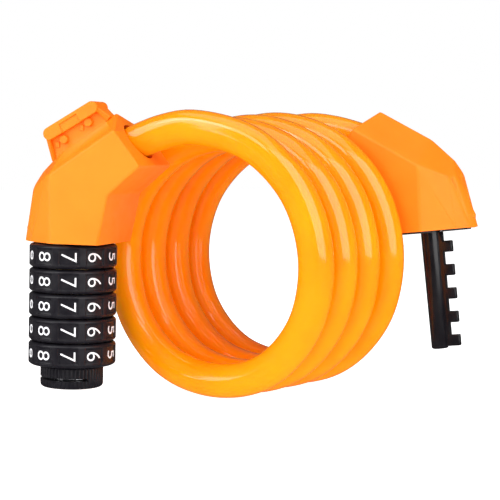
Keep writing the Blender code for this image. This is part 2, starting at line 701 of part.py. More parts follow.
def make_knob(frame):
    """The knurled reset knob, its thrust washer and the clip that holds it on the core."""
    bevel = 1.3
    profile = [(KNOB_RADIUS - 0.3, KNOB_TOP), (KNOB_RADIUS, KNOB_TOP - 0.3)]
    profile += [(KNOB_RADIUS, KNOB_BOTTOM + bevel), (KNOB_RADIUS - 0.45, KNOB_BOTTOM + 0.4)]
    profile.append((KNOB_RADIUS - bevel, KNOB_BOTTOM))
    groove_low, groove_high = CLIP_LEVEL - CLIP_GROOVE / 2, CLIP_LEVEL + CLIP_GROOVE / 2
    profile += [(HUB_BORE, KNOB_BOTTOM), (HUB_BORE, groove_low), (7.8, groove_low), (7.8, groove_high)]
    profile += [(HUB_BORE, groove_high), (HUB_BORE, KNOB_TOP - 1.0), (9.6, KNOB_TOP - 1.0), (9.6, KNOB_TOP)]
    knob = as_part(turned("reset_knob", profile, 30, closed=True), BLACK, frame)
    valley_low = (KNOB_RADIUS - 0.4, -0.35, KNOB_BOTTOM - 1)
    valley_high = (KNOB_RADIUS + 1, 0.35, KNOB_TOP + 1)
    knurls = ring_of_blocks("knob_knurls", KNOB_KNURLS, valley_low, valley_high)
    low, high = CLIP_LEVEL - 0.4, CLIP_LEVEL + 0.4
    gap = [(KNOB_RADIUS + 1, high), (KNOB_RADIUS + 1, low), (HUB_BORE + 0.6, low), (HUB_BORE + 0.6, high)]
    start, end = KNOB_SLOT_TURN
    slot = turned("knob_slot", gap, 24, closed=True, sweep=end - start)
    slot = capped(applied(slot))
    slot.data.transform(Matrix.Rotation(math.radians(start), 4, "Z"))
    side = GATE_WIDTH / 2
    gate = block("knob_gate", (-HUB_RECESS, -side, KNOB_BOTTOM - 1), (-3.0, side, KNOB_TOP + 1))
    for tool in (knurls, slot, gate):
        carve(knob, as_cutter(tool, frame))
    top, under = KNOB_TOP - 0.15, KNOB_TOP - 0.7
    washer = turned("thrust_washer", [(9.2, top), (9.2, under), (6.3, under), (6.3, top)], 20, closed=True)
    as_part(washer, STEEL, frame)
    washer_gate = block("washer_gate", (-HUB_RECESS, -side, under - 1), (-3.0, side, top + 1))
    carve(washer, as_cutter(washer_gate, frame))
    upper, lower = CLIP_LEVEL + 0.25, CLIP_LEVEL - 0.25
    clip = turned("knob_clip", [(7.4, upper), (7.4, lower), (5.05, lower), (5.05, upper)], 20, closed=True)
    as_part(clip, STEEL, frame)
    mouth = block("clip_mouth", (-9.0, -2.2, lower - 1), (-1.0, 2.2, upper + 1))
    carve(clip, as_cutter(mouth, frame))


def capped(thing):
    """Close the two open ends of a swept tool."""
    shape = bmesh.new()
    shape.from_mesh(thing.data)
    bmesh.ops.remove_doubles(shape, verts=shape.verts, dist=0.000001)
    bmesh.ops.holes_fill(shape, edges=[e for e in shape.edges if e.is_boundary], sides=0)
    bmesh.ops.recalc_face_normals(shape, faces=shape.faces)
    shape.to_mesh(thing.data)
    shape.free()
    return thing


# ---------------------------------------------------------------- plug
def make_plug_base(frame):
    """The plug's base plate, with the cup that slips over the knob when the lock is shut."""
    base = make_base("plug_base", frame, -PLUG_BASE_DROP, 1.5, SOCKET_RADIUS + SOCKET_WALL / 2)
    outer, floor = SOCKET_RADIUS + SOCKET_WALL, SOCKET_DEPTH
    profile = [(outer, floor + 1.2), (outer, 0.4), (SOCKET_RADIUS, 0.4), (SOCKET_RADIUS, floor)]
    profile += [(KEY_RADIUS_TOP + 0.4, floor), (KEY_RADIUS_TOP + 0.4, floor + 1.2)]
    cup = turned("plug_cup", profile, 28, closed=True)
    carve(base, as_cutter(cup, frame), "UNION")


def make_key(frame):
    """The toothed key pin, and the clip that keeps its collar against the cup."""
    profile = [(0, 11.6), (6.0, 11.6), (6.0, 8.8), (KEY_RADIUS_TOP, 8.8), (KEY_RADIUS_TOP, 6.9), (3.0, 6.9)]
    profile += [(3.0, 6.0), (KEY_RADIUS_TOP, 6.0), (KEY_RADIUS_TOP, -1.0), (KEY_RADIUS_END, KEY_END + 0.7)]
    profile += [(KEY_RADIUS_END - 0.7, KEY_END), (0, KEY_END)]
    key = as_part(turned("plug_key", profile, 28), BLACK, frame)
    comb = [(-1.5, -2.0)]
    half = TOOTH_HEIGHT / 2
    for i in range(DIALS):
        middle = FIRST_TOOTH - i * DIAL_PITCH
        last = i == DIALS - 1
        comb += [(-WEB_REACH, middle + half), (-TOOTH_REACH + 0.4, middle + half)]
        comb.append((-TOOTH_REACH, middle + half - 0.4))
        comb += arc((-TOOTH_REACH + 1.5, middle - half + 1.5), 1.5, 180, 270, 4) if last else [
            (-TOOTH_REACH, middle - half + 0.4),
            (-TOOTH_REACH + 0.4, middle - half),
            (-WEB_REACH, middle - half),
        ]
    comb += [(-1.5, FIRST_TOOTH - (DIALS - 1) * DIAL_PITCH - half)]
    blade = plate("key_comb", comb, -WEB_WIDTH / 2, WEB_WIDTH / 2, upright=True)
    carve(key, as_cutter(blade, frame), "UNION")
    clip = turned("key_clip", [(5.6, 6.7), (5.6, 6.2), (3.25, 6.2), (3.25, 6.7)], 24, closed=True)
    as_part(clip, STEEL, frame)
    mouth = block("key_clip_mouth", (1.0, -2.0, 5.5), (7.0, 2.0, 7.5))
    carve(clip, as_cutter(mouth, frame))


def main():
    """Build both heads, what is in them, and the cable between them."""
    lock = head_frame("lock_frame", LOCK_SEAT, LOCK_TURN, LOCK_LEAN)
    plug = head_frame("plug_frame", PLUG_SEAT, PLUG_TURN, PLUG_LEAN)
    add_rail(make_shell("lock_housing", lock), lock)
    make_base("lock_base", lock, 0.2, 1.7, HUB_RADIUS)
    make_base_screws("lock", lock, 0.2)
    make_ferrule("lock", lock)
    make_barrel(lock)
    make_detent_spring(lock)
    make_hub_spring(lock)
    make_dials(lock)
    make_knob(lock)
    make_shell("plug_housing", plug)
    make_plug_base(plug)
    make_base_screws("plug", plug, -PLUG_BASE_DROP + 0.1)
    make_ferrule("plug", plug)
    make_key(plug)
    make_cable(lock, plug)


main()
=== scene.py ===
"""The visible surfaces of a coiled steel-cable combination lock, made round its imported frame.

Each class is one sub-assembly or one finish. Sub-assemblies hold their sizes in millimetres, make
their meshes in their own head's frame and set them down in the object's frame, in metres: +X runs
from the lock head to the plug head, the coil's axis lies along +Y and +Z is up. In a head's frame
+X points along the cable as it leaves, +Z runs up the dial stack or the key, and z = 0 is the rim.
"""

import json
import logging
import math
from dataclasses import dataclass, field
from enum import Enum
from typing import Any, Sequence

import bmesh
import bpy
import numpy as np
from mathutils import Matrix, Vector
from mathutils.kdtree import KDTree

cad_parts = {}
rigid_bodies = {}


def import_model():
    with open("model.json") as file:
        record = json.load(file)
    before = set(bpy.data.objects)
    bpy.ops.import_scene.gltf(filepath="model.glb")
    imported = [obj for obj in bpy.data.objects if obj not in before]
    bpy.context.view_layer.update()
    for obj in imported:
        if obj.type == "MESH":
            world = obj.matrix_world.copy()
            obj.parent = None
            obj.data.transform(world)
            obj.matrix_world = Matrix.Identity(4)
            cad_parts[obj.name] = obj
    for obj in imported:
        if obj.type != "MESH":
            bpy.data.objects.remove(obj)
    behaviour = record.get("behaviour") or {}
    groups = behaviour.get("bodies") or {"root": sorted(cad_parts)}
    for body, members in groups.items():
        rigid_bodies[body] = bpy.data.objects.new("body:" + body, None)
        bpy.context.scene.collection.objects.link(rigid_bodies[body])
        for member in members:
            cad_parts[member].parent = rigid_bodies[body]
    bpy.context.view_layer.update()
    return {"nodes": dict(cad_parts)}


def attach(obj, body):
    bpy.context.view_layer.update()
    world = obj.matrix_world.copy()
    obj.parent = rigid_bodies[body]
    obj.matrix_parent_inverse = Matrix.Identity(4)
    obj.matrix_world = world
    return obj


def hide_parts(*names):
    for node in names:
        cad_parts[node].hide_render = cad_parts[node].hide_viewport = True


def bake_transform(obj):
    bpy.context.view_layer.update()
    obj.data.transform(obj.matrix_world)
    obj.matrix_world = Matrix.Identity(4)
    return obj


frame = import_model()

MM = 0.001
LOG = logging.getLogger("coiled_lock")

Colour = tuple[float, float, float]
Point = tuple[float, float, float]
FlatPoint = tuple[float, float]


class Body(Enum):
    """The rigid bodies that pieces ride on."""

    LOCK = "lock_head"
    PLUG = "plug_head"
    KNOB = "reset_knob"


class Slot(Enum):
    """The record's material slots."""

    SHELL = "housing_orange"
    CABLE = "cable_orange"
    BLACK = "black_plastic"
    KEY = "black_coated_steel"
    STEEL = "steel"
    ZINC = "zinc"
    BRASS = "brass"
    ROPE = "wire_rope"


class Change(Enum):
    """What a tool does to the solid that it meets."""

    CUT = "DIFFERENCE"
    ADD = "UNION"


class Kind(Enum):
    """The kinds of input that a Geometry Nodes tree here takes."""

    NUMBER = "NodeSocketFloat"
    COUNT = "NodeSocketInt"
    OBJECT = "NodeSocketObject"
    COLLECTION = "NodeSocketCollection"
    MATERIAL = "NodeSocketMaterial"


# ---------------------------------------------------------------- finishes
class Recipe:
    """A node material while it is put together."""

    def __init__(self, name: str) -> None:
        """Start a material that holds one Principled shader.

        Args:
            name: the material's name.
        """
        self.material = bpy.data.materials.new(name)
        self.material.use_nodes = True
        self.tree = self.material.node_tree
        self.shader = self.tree.nodes["Principled BSDF"]
        self.place = self.tree.nodes.new("ShaderNodeTexCoord").outputs["Object"]

    def fixed(self, **values: Any) -> None:
        """Set the shader's own sockets; an underscore in a name stands for a space."""
        for name, value in values.items():
            self.shader.inputs[name.replace("_", " ")].default_value = value

    def noise(self, size: float, detail: float = 2.0, stretch: Point = (1, 1, 1)) -> bpy.types.NodeSocket:
        """Fractal noise on Object coordinates.

        Args:
            size: how large its features are, in mm.
            detail: how many finer octaves it has.
            stretch: how much tighter the pattern is along each axis.

        Returns:
            The noise's factor socket.
        """
        spread = self.tree.nodes.new("ShaderNodeMapping")
        spread.inputs["Scale"].default_value = stretch
        self.tree.links.new(self.place, spread.inputs["Vector"])
        noise = self.tree.nodes.new("ShaderNodeTexNoise")
        noise.inputs["Scale"].default_value = 1.0 / (size * MM)
        noise.inputs["Detail"].default_value = detail
        self.tree.links.new(spread.outputs["Vector"], noise.inputs["Vector"])
        return noise.outputs["Fac"]

    def ramp(
        self, factor: bpy.types.NodeSocket, low: Colour, high: Colour, span: FlatPoint
    ) -> bpy.types.NodeSocket:
        """Colours from low to high as the factor crosses a span.

        Args:
            factor: what is read.
            low: the colour before the span.
            high: the colour after it.
            span: where it starts and ends, from 0 to 1.

        Returns:
            The colour socket.
        """
        ramp = self.tree.nodes.new("ShaderNodeValToRGB")
        for stop, colour, at in zip(ramp.color_ramp.elements, (low, high), span):
            stop.color = (*colour, 1.0)
            stop.position = at
        self.tree.links.new(factor, ramp.inputs["Fac"])
        return ramp.outputs["Color"]

    def between(self, factor: bpy.types.NodeSocket, low: float, high: float) -> bpy.types.NodeSocket:
        """The factor's middle range spread from low to high.

        Args:
            factor: what is read.
            low: the value at 0.3 and under.
            high: the value at 0.7 and over.

        Returns:
            The value socket.
        """
        spread = self.tree.nodes.new("ShaderNodeMapRange")
        for name, value in (("From Min", 0.3), ("From Max", 0.7), ("To Min", low), ("To Max", high)):
            spread.inputs[name].default_value = value
        self.tree.links.new(factor, spread.inputs["Value"])
        return spread.outputs["Result"]

    def relief(self, height: bpy.types.NodeSocket, depth: float) -> None:
        """Raise the surface by a height, on top of what is raised already.

        Args:
            height: the height from 0 to 1.
            depth: how far 1 stands over 0, in mm.
        """
        bump = self.tree.nodes.new("ShaderNodeBump")
        bump.inputs["Strength"].default_value = 1.0
        bump.inputs["Distance"].default_value = depth * MM
        self.tree.links.new(height, bump.inputs["Height"])
        for link in list(self.shader.inputs["Normal"].links):
            self.tree.links.new(link.from_socket, bump.inputs["Normal"])
        self.tree.links.new(bump.outputs["Normal"], self.shader.inputs["Normal"])

    def drive(self, name: str, socket: bpy.types.NodeSocket) -> None:
        """Feed one of the shader's sockets."""
        self.tree.links.new(socket, self.shader.inputs[name])


@dataclass(frozen=True)
class MouldedPlastic:
    """Matt moulded plastic: cloudy colour, an uneven sheen and the grain of a spark-eroded mould."""

    name: str
    light: Colour
    deep: Colour
    sheen: FlatPoint = (0.42, 0.52)
    cloud: float = 16.0
    patch: float = 5.0
    grain: float = 0.30
    grain_depth: float = 0.012
    shine: float = 0.5
    glow: float = 0.0
    glow_reach: float = 1.2

    def material(self) -> bpy.types.Material:
        """Build the finish.

        Returns:
            Its material.
        """
        recipe = Recipe(self.name)
        clouds = recipe.noise(self.cloud, 3.0)
        recipe.drive("Base Color", recipe.ramp(clouds, self.deep, self.light, (0.35, 0.65)))
        recipe.drive("Roughness", recipe.between(recipe.noise(self.patch, 2.0), *self.sheen))
        recipe.relief(recipe.noise(self.grain, 1.0), self.grain_depth)
        recipe.fixed(IOR=1.47, Specular_IOR_Level=self.shine)
        if self.glow > 0:
            recipe.fixed(Subsurface_Weight=self.glow, Subsurface_Radius=(1.0, 0.32, 0.08))
            recipe.fixed(Subsurface_Scale=self.glow_reach * MM)
        return recipe.material


@dataclass(frozen=True)
class ClearSleeve:
    """The cable's glossy, slightly see-through sleeve: deep colour that glows, and a faintly wavy skin."""

    name: str
    light: Colour
    deep: Colour
    gloss: FlatPoint = (0.10, 0.16)
    cloud: float = 22.0
    patch: float = 3.0
    wave: float = 9.0
    wave_depth: float = 0.05
    glow: float = 0.45
    glow_reach: float = 2.6

    def material(self) -> bpy.types.Material:
        """Build the finish.

        Returns:
            Its material.
        """
        recipe = Recipe(self.name)
        clouds = recipe.noise(self.cloud, 2.0)
        recipe.drive("Base Color", recipe.ramp(clouds, self.deep, self.light, (0.35, 0.65)))
        recipe.drive("Roughness", recipe.between(recipe.noise(self.patch, 2.0), *self.gloss))
        recipe.relief(recipe.noise(self.wave, 1.0), self.wave_depth)
        recipe.fixed(IOR=1.5, Subsurface_Weight=self.glow, Subsurface_Radius=(1.0, 0.30, 0.05))
        recipe.fixed(Subsurface_Scale=self.glow_reach * MM)
        recipe.fixed(Coat_Weight=0.35, Coat_Roughness=0.04)
        return recipe.material


@dataclass(frozen=True)
class Metal:
    """Bare metal with fine lines left by its making and a patchy sheen."""

    name: str
    light: Colour
    deep: Colour
    gloss: FlatPoint = (0.28, 0.42)
    cloud: float = 4.0
    patch: float = 2.0
    lines: Point = (1.0, 1.0, 14.0)
    line_size: float = 3.0
    line_depth: float = 0.01

    def material(self) -> bpy.types.Material:
        """Build the finish.

        Returns:
            Its material.
        """
        recipe = Recipe(self.name)
        clouds = recipe.noise(self.cloud, 3.0)
        recipe.drive("Base Color", recipe.ramp(clouds, self.deep, self.light, (0.3, 0.7)))
        recipe.drive("Roughness", recipe.between(recipe.noise(self.patch, 2.0), *self.gloss))
        recipe.relief(recipe.noise(self.line_size, 2.0, self.lines), self.line_depth)
        recipe.fixed(Metallic=1.0)
        return recipe.material


SHELL = MouldedPlastic(
    "orange_shell", light=(0.96, 0.215, 0.005), deep=(0.94, 0.198, 0.003), glow=0.12, grain_depth=0.010,
    shine=0.3,
)
SLEEVE = ClearSleeve("orange_sleeve", light=(0.995, 0.300, 0.002), deep=(0.985, 0.262, 0.001))
DIAL_BLACK = MouldedPlastic(
    "dial_black", light=(0.013, 0.012, 0.015), deep=(0.007, 0.006, 0.009), sheen=(0.26, 0.40), cloud=3.0,
    grain=0.22, grain_depth=0.014, shine=0.30,
)
BASE_BLACK = MouldedPlastic("base_black", light=(0.022, 0.022, 0.026), deep=(0.014, 0.014, 0.017), cloud=6.0)
DIGIT_WHITE = MouldedPlastic(
    "digit_white", light=(0.90, 0.90, 0.92), deep=(0.78, 0.78, 0.82), cloud=1.6, grain=0.12, grain_depth=0.006
)
KEY_BLACK = MouldedPlastic(
    "key_black", light=(0.009, 0.008, 0.010), deep=(0.005, 0.004, 0.006), sheen=(0.18, 0.26), cloud=5.0,
    grain=0.25, grain_depth=0.006, shine=0.6,
)
STEEL = Metal("plain_steel", light=(0.66, 0.66, 0.68), deep=(0.52, 0.52, 0.55))
ZINC = Metal(
    "cast_zinc", light=(0.50, 0.50, 0.52), deep=(0.36, 0.36, 0.38), gloss=(0.38, 0.55), lines=(1, 1, 1)
)
BRASS = Metal("turned_brass", light=(0.78, 0.58, 0.28), deep=(0.62, 0.43, 0.18))
ROPE = Metal("galvanised_rope", light=(0.58, 0.58, 0.60), deep=(0.38, 0.38, 0.41), gloss=(0.35, 0.5))


# ---------------------------------------------------------------- meshes
def linked(name: str, mesh: bpy.types.Mesh) -> bpy.types.Object:
    """Put a mesh in the scene.

    Args:
        name: the object's name.
        mesh: its mesh.

    Returns:
        The object, at the origin.
    """
    thing = bpy.data.objects.new(name, mesh)
    bpy.context.scene.collection.objects.link(thing)
    return thing


def from_bmesh(name: str, shape: bmesh.types.BMesh) -> bpy.types.Object:
    """An object in the scene from a bmesh in millimetres, which is freed.

    Args:
        name: the object's name.
        shape: the bmesh.

    Returns:
        The object, at the origin and in metres.
    """
    bmesh.ops.scale(shape, vec=(MM, MM, MM), verts=shape.verts)
    mesh = bpy.data.meshes.new(name)
    shape.to_mesh(mesh)
    shape.free()
    return linked(name, mesh)


def settled(thing: bpy.types.Object, smooth_under: float = 30.0) -> bpy.types.Object:
    """The object with its modifiers made real, and its shading smooth except at sharp edges.

    Args:
        thing: an object in the scene.
        smooth_under: edges that bend by more than this many degrees stay sharp.

    Returns:
        The same object with a plain mesh.
    """
    bpy.context.view_layer.update()
    graph = bpy.context.evaluated_depsgraph_get()
    mesh = bpy.data.meshes.new_from_object(thing.evaluated_get(graph))
    thing.modifiers.clear()
    thing.data = mesh
    mesh.shade_smooth()
    mesh.set_sharp_from_angle(angle=math.radians(smooth_under))
    return thing


def combined(
    thing: bpy.types.Object, tool: bpy.types.Object, change: Change = Change.CUT
) -> bpy.types.Object:
    """The object cut by, or joined with, a tool that is used up.

    Args:
        thing: the object that stays.
        tool: a closed object.
        change: whether the tool cuts or adds.

    Returns:
        The same object with the result as its mesh.
    """
    step = thing.modifiers.new("combine", "BOOLEAN")
    step.operation = change.value
    step.solver = "EXACT"
    step.object = tool
    settled(thing)
    bpy.data.objects.remove(tool, do_unlink=True)
    return thing


def rounded(thing: bpy.types.Object, width: float, segments: int = 3, over: float = 20.0) -> bpy.types.Object:
    """The object with its edges rounded.

    Args:
        thing: an object in the scene.
        width: the rounding's width in mm.
        segments: how many faces run across it.
        over: edges that bend by more than this many degrees are rounded.

    Returns:
        The same object with the result as its mesh.
    """
    bevel = thing.modifiers.new("round", "BEVEL")
    bevel.width = width * MM
    bevel.segments = segments
    bevel.limit_method = "ANGLE"
    bevel.angle_limit = math.radians(over)
    return settled(thing)


def grid_mesh(name: str, points: np.ndarray) -> bpy.types.Object:
    """A closed ring-shaped grid: rows run round an axis, and the last row and column meet the first.

    Args:
        name: the object's name.
        points: rows by columns by 3, in millimetres. Columns turn anticlockwise seen from +Z, and rows
            go up the outside and down the inside.

    Returns:
        The object in the scene.
    """
    rows, columns = points.shape[:2]
    faces = []
    for i in range(rows):
        for j in range(columns):
            up, on = (i + 1) % rows, (j + 1) % columns
            faces.append((i * columns + j, i * columns + on, up * columns + on, up * columns + j))
    mesh = bpy.data.meshes.new(name)
    mesh.from_pydata((points.reshape(-1, 3) * MM).tolist(), [], faces)
    return linked(name, mesh)


def upright_plate(name: str, outline: Sequence[FlatPoint], half_width: float) -> bpy.types.Object:
    """A flat outline in XZ, given thickness along Y.

    Args:
        name: the object's name.
        outline: (x, z) points in mm, anticlockwise seen from -Y.
        half_width: half the thickness in mm.

    Returns:
        The object in the scene.
    """
    shape = bmesh.new()
    near = [shape.verts.new((x, -half_width, z)) for x, z in outline]
    far = [shape.verts.new((x, half_width, z)) for x, z in outline]
    shape.faces.new(near)
    shape.faces.new(far[::-1])
    for a, b, c, d in zip(near, near[1:] + near[:1], far[1:] + far[:1], far):
        shape.faces.new((a, d, c, b))
    bmesh.ops.recalc_face_normals(shape, faces=shape.faces)
    return from_bmesh(name, shape)


def rod(name: str, radius: float, start: Vector, end: Vector, sides: int = 32) -> bpy.types.Object:
    """A round rod between two points in mm.

    Args:
        name: the object's name.
        radius: its radius in mm.
        start: one end.
        end: the other end.
        sides: how many faces run round it.

    Returns:
        The object in the scene.
    """
    along = end - start
    shape = bmesh.new()
    bmesh.ops.create_cone(
        shape, cap_ends=True, segments=sides, radius1=radius, radius2=radius, depth=along.length
    )
    bmesh.ops.rotate(shape, matrix=along.to_track_quat("Z", "Y").to_matrix(), verts=shape.verts)
    bmesh.ops.translate(shape, vec=(start + end) / 2, verts=shape.verts)
    return from_bmesh(name, shape)


def hull(name: str, corners: Sequence[Point]) -> bpy.types.Object:
    """A closed convex solid over its corner points, with whole flat faces.

    Args:
        name: the object's name.
        corners: the points in mm.

    Returns:
        The object in the scene.
    """
    shape = bmesh.new()
    for corner in corners:
        shape.verts.new(corner)
    bmesh.ops.convex_hull(shape, input=shape.verts)
    bmesh.ops.delete(shape, geom=[v for v in shape.verts if not v.link_faces], context="VERTS")
    bmesh.ops.dissolve_limit(shape, angle_limit=math.radians(1), verts=shape.verts, edges=shape.edges)
    bmesh.ops.recalc_face_normals(shape, faces=shape.faces)
    return from_bmesh(name, shape)


def arc(middle: FlatPoint, radius: float, start: float, end: float, steps: int) -> list[FlatPoint]:
    """Points on an arc between two angles in degrees."""
    turns = [math.radians(start + (end - start) * i / steps) for i in range(steps + 1)]
    return [(middle[0] + radius * math.cos(t), middle[1] + radius * math.sin(t)) for t in turns]


def turned(name: str, profile: Sequence[FlatPoint], sides: int) -> bpy.types.Object:
    """A solid of revolution about Z.

    Args:
        name: the object's name.
        profile: (radius, z) points in mm that go up the outside; it starts and ends on the axis.
        sides: how many faces run round it.

    Returns:
        The object in the scene.
    """
    shape = bmesh.new()
    rings = []
    for radius, z in profile:
        if radius < 1e-6:
            rings.append([shape.verts.new((0, 0, z))])
            continue
        turns = [2 * math.pi * j / sides for j in range(sides)]
        rings.append([shape.verts.new((radius * math.cos(t), radius * math.sin(t), z)) for t in turns])
    for low, high in zip(rings, rings[1:]):
        for j in range(sides):
            k = (j + 1) % sides
            if len(low) == 1:
                shape.faces.new((low[0], high[k], high[j]))
            elif len(high) == 1:
                shape.faces.new((low[j], low[k], high[0]))
            else:
                shape.faces.new((low[j], low[k], high[k], high[j]))
    bmesh.ops.recalc_face_normals(shape, faces=shape.faces)
    return from_bmesh(name, shape)


# ---------------------------------------------------------------- Geometry Nodes
class Repeater:
    """A Geometry Nodes tree with named inputs, run on one object and turned into a plain mesh."""

    def __init__(self, name: str) -> None:
        """Start an empty tree.

        Args:
            name: the tree's name.
        """
        self.tree = bpy.data.node_groups.new(name, "GeometryNodeTree")
        for way in ("INPUT", "OUTPUT"):
            self.tree.interface.new_socket(name="Geometry", in_out=way, socket_type="NodeSocketGeometry")
        self.start = self.tree.nodes.new("NodeGroupInput")
        self.end = self.tree.nodes.new("NodeGroupOutput")
        self.values: dict[str, Any] = {}

    def setting(self, name: str, kind: Kind, value: Any) -> bpy.types.NodeSocket:
        """Add a named input.

        Args:
            name: the input's name.
            kind: what it takes.
            value: the value that it takes.

        Returns:
            The socket to read it from.
        """
        item = self.tree.interface.new_socket(name=name, in_out="INPUT", socket_type=kind.value)
        self.values[item.identifier] = value
        return self.start.outputs[name]

    def step(self, kind: str, inputs: dict[str, Any], **options: Any) -> bpy.types.Node:
        """Add a node.

        Args:
            kind: the node's type.
            inputs: its sockets by name, each a value or a socket to link from.
            options: its own properties.

        Returns:
            The node.
        """
        node = self.tree.nodes.new(kind)
        for name, value in options.items():
            setattr(node, name, value)
        for name, value in inputs.items():
            if isinstance(value, bpy.types.NodeSocket):
                self.tree.links.new(value, node.inputs[name])
            else:
                node.inputs[name].default_value = value
        return node

    def around(
        self, count: bpy.types.NodeSocket, first: bpy.types.NodeSocket, turn: bpy.types.NodeSocket,
        shapes: bpy.types.NodeSocket,
    ) -> bpy.types.NodeSocket:
        """The shapes of a list, one after the other round Z.

        Args:
            count: how many copies.
            first: the angle of the first.
            turn: the angle from one to the next.
            shapes: the list, of which each copy takes the next shape.

        Returns:
            The copies' socket.
        """
        points = self.step("GeometryNodePoints", {"Count": count})
        index = self.step("GeometryNodeInputIndex", {})
        angle = self.step("ShaderNodeMath", {}, operation="MULTIPLY_ADD")
        for socket, source in zip(angle.inputs, (index.outputs[0], turn, first)):
            self.tree.links.new(source, socket)
        euler = self.step("ShaderNodeCombineXYZ", {"Z": angle.outputs[0]})
        rotation = self.step("FunctionNodeEulerToRotation", {"Euler": euler.outputs[0]})
        copies = self.step(
            "GeometryNodeInstanceOnPoints",
            {
                "Points": points.outputs[0], "Instance": shapes, "Rotation": rotation.outputs[0],
                "Pick Instance": True,
            },
        )
        return copies.outputs["Instances"]

    def along(
        self, count: bpy.types.NodeSocket, first: bpy.types.NodeSocket, pitch: bpy.types.NodeSocket,
        shape: bpy.types.NodeSocket,
    ) -> bpy.types.NodeSocket:
        """Copies of a shape in a row down Z.

        Args:
            count: how many copies.
            first: the height of the first.
            pitch: the rise from one to the next.
            shape: the shape.

        Returns:
            The copies' socket.
        """
        index = self.step("GeometryNodeInputIndex", {})
        height = self.step("ShaderNodeMath", {}, operation="MULTIPLY_ADD")
        for socket, source in zip(height.inputs, (index.outputs[0], pitch, first)):
            self.tree.links.new(source, socket)
        place = self.step("ShaderNodeCombineXYZ", {"Z": height.outputs[0]})
        points = self.step("GeometryNodePoints", {"Count": count, "Position": place.outputs[0]})
        copies = self.step("GeometryNodeInstanceOnPoints", {"Points": points.outputs[0], "Instance": shape})
        return copies.outputs["Instances"]

    def run(
        self, name: str, shape: bpy.types.NodeSocket, finish: bpy.types.Material,
        base: bpy.types.Object | None = None,
    ) -> bpy.types.Object:
        """Finish the tree and make its result a plain mesh.

        Args:
            name: the piece's name.
            shape: the last shape's socket.
            finish: its material.
            base: the object that the tree starts from, which is used up.

        Returns:
            The piece, at the origin.
        """
        surface = self.setting("Finish", Kind.MATERIAL, finish)
        real = self.step("GeometryNodeRealizeInstances", {"Geometry": shape})
        dressed = self.step("GeometryNodeSetMaterial", {"Geometry": real.outputs[0], "Material": surface})
        self.tree.links.new(dressed.outputs[0], self.end.inputs[0])
        thing = base or linked(name, bpy.data.meshes.new(name))
        thing.name = name
        maker = thing.modifiers.new("repeat", "NODES")
        maker.node_group = self.tree
        for identifier, value in self.values.items():
            maker[identifier] = value
        return settled(thing)


# ---------------------------------------------------------------- heads
@dataclass(frozen=True)
class HeadFrame:
    """Where a head sits: the middle of its rim, its turn about Z and its lean about its own Y."""

    seat: Point
    turn: float
    lean: float
    coil_middle: Point = (-3.6, 2.7, 0.0)

    @property
    def matrix(self) -> Matrix:
        """The head's frame in the object's, both in metres.

        Returns:
            The matrix that takes a point of the head's frame to its place.
        """
        seat = Vector(self.seat) + Vector(self.coil_middle)
        turn = Matrix.Rotation(math.radians(self.turn), 4, "Z")
        return Matrix.Translation(seat * MM) @ turn @ Matrix.Rotation(math.radians(self.lean), 4, "Y")

    def set_down(self, thing: bpy.types.Object, lift: float = 0.0) -> bpy.types.Object:
        """Move a mesh from the head's frame to the object's.

        Args:
            thing: an object at the origin.
            lift: how far it is first raised along the head's Z, in mm.

        Returns:
            The same object, still at the origin, with its place in its mesh.
        """
        thing.data.transform(self.matrix @ Matrix.Translation((0, 0, lift * MM)))
        return thing


LOCK_FRAME = HeadFrame(seat=(-41.9, -48.5, 54.3), turn=17.5, lean=1.2)
PLUG_FRAME = HeadFrame(seat=(48.6, 43.2, 57.1), turn=188.5, lean=5.6)


@dataclass(frozen=True)
class CableHole:
    """The hole by which the cable leaves a head: its middle in XZ, its tilt and its radius."""

    middle: FlatPoint = (23.3, 35.0)
    tilt: float = 25.0
    radius: float = 7.0

    def along(self, distance: float) -> Vector:
        """A point on the hole's axis.

        Args:
            distance: how far out of the hole it is, in mm.

        Returns:
            The point in the head's frame, in mm.
        """
        tilt = math.radians(self.tilt)
        out = Vector((math.cos(tilt), 0, math.sin(tilt)))
        return Vector((self.middle[0], 0, self.middle[1])) + out * distance


HOLE = CableHole()


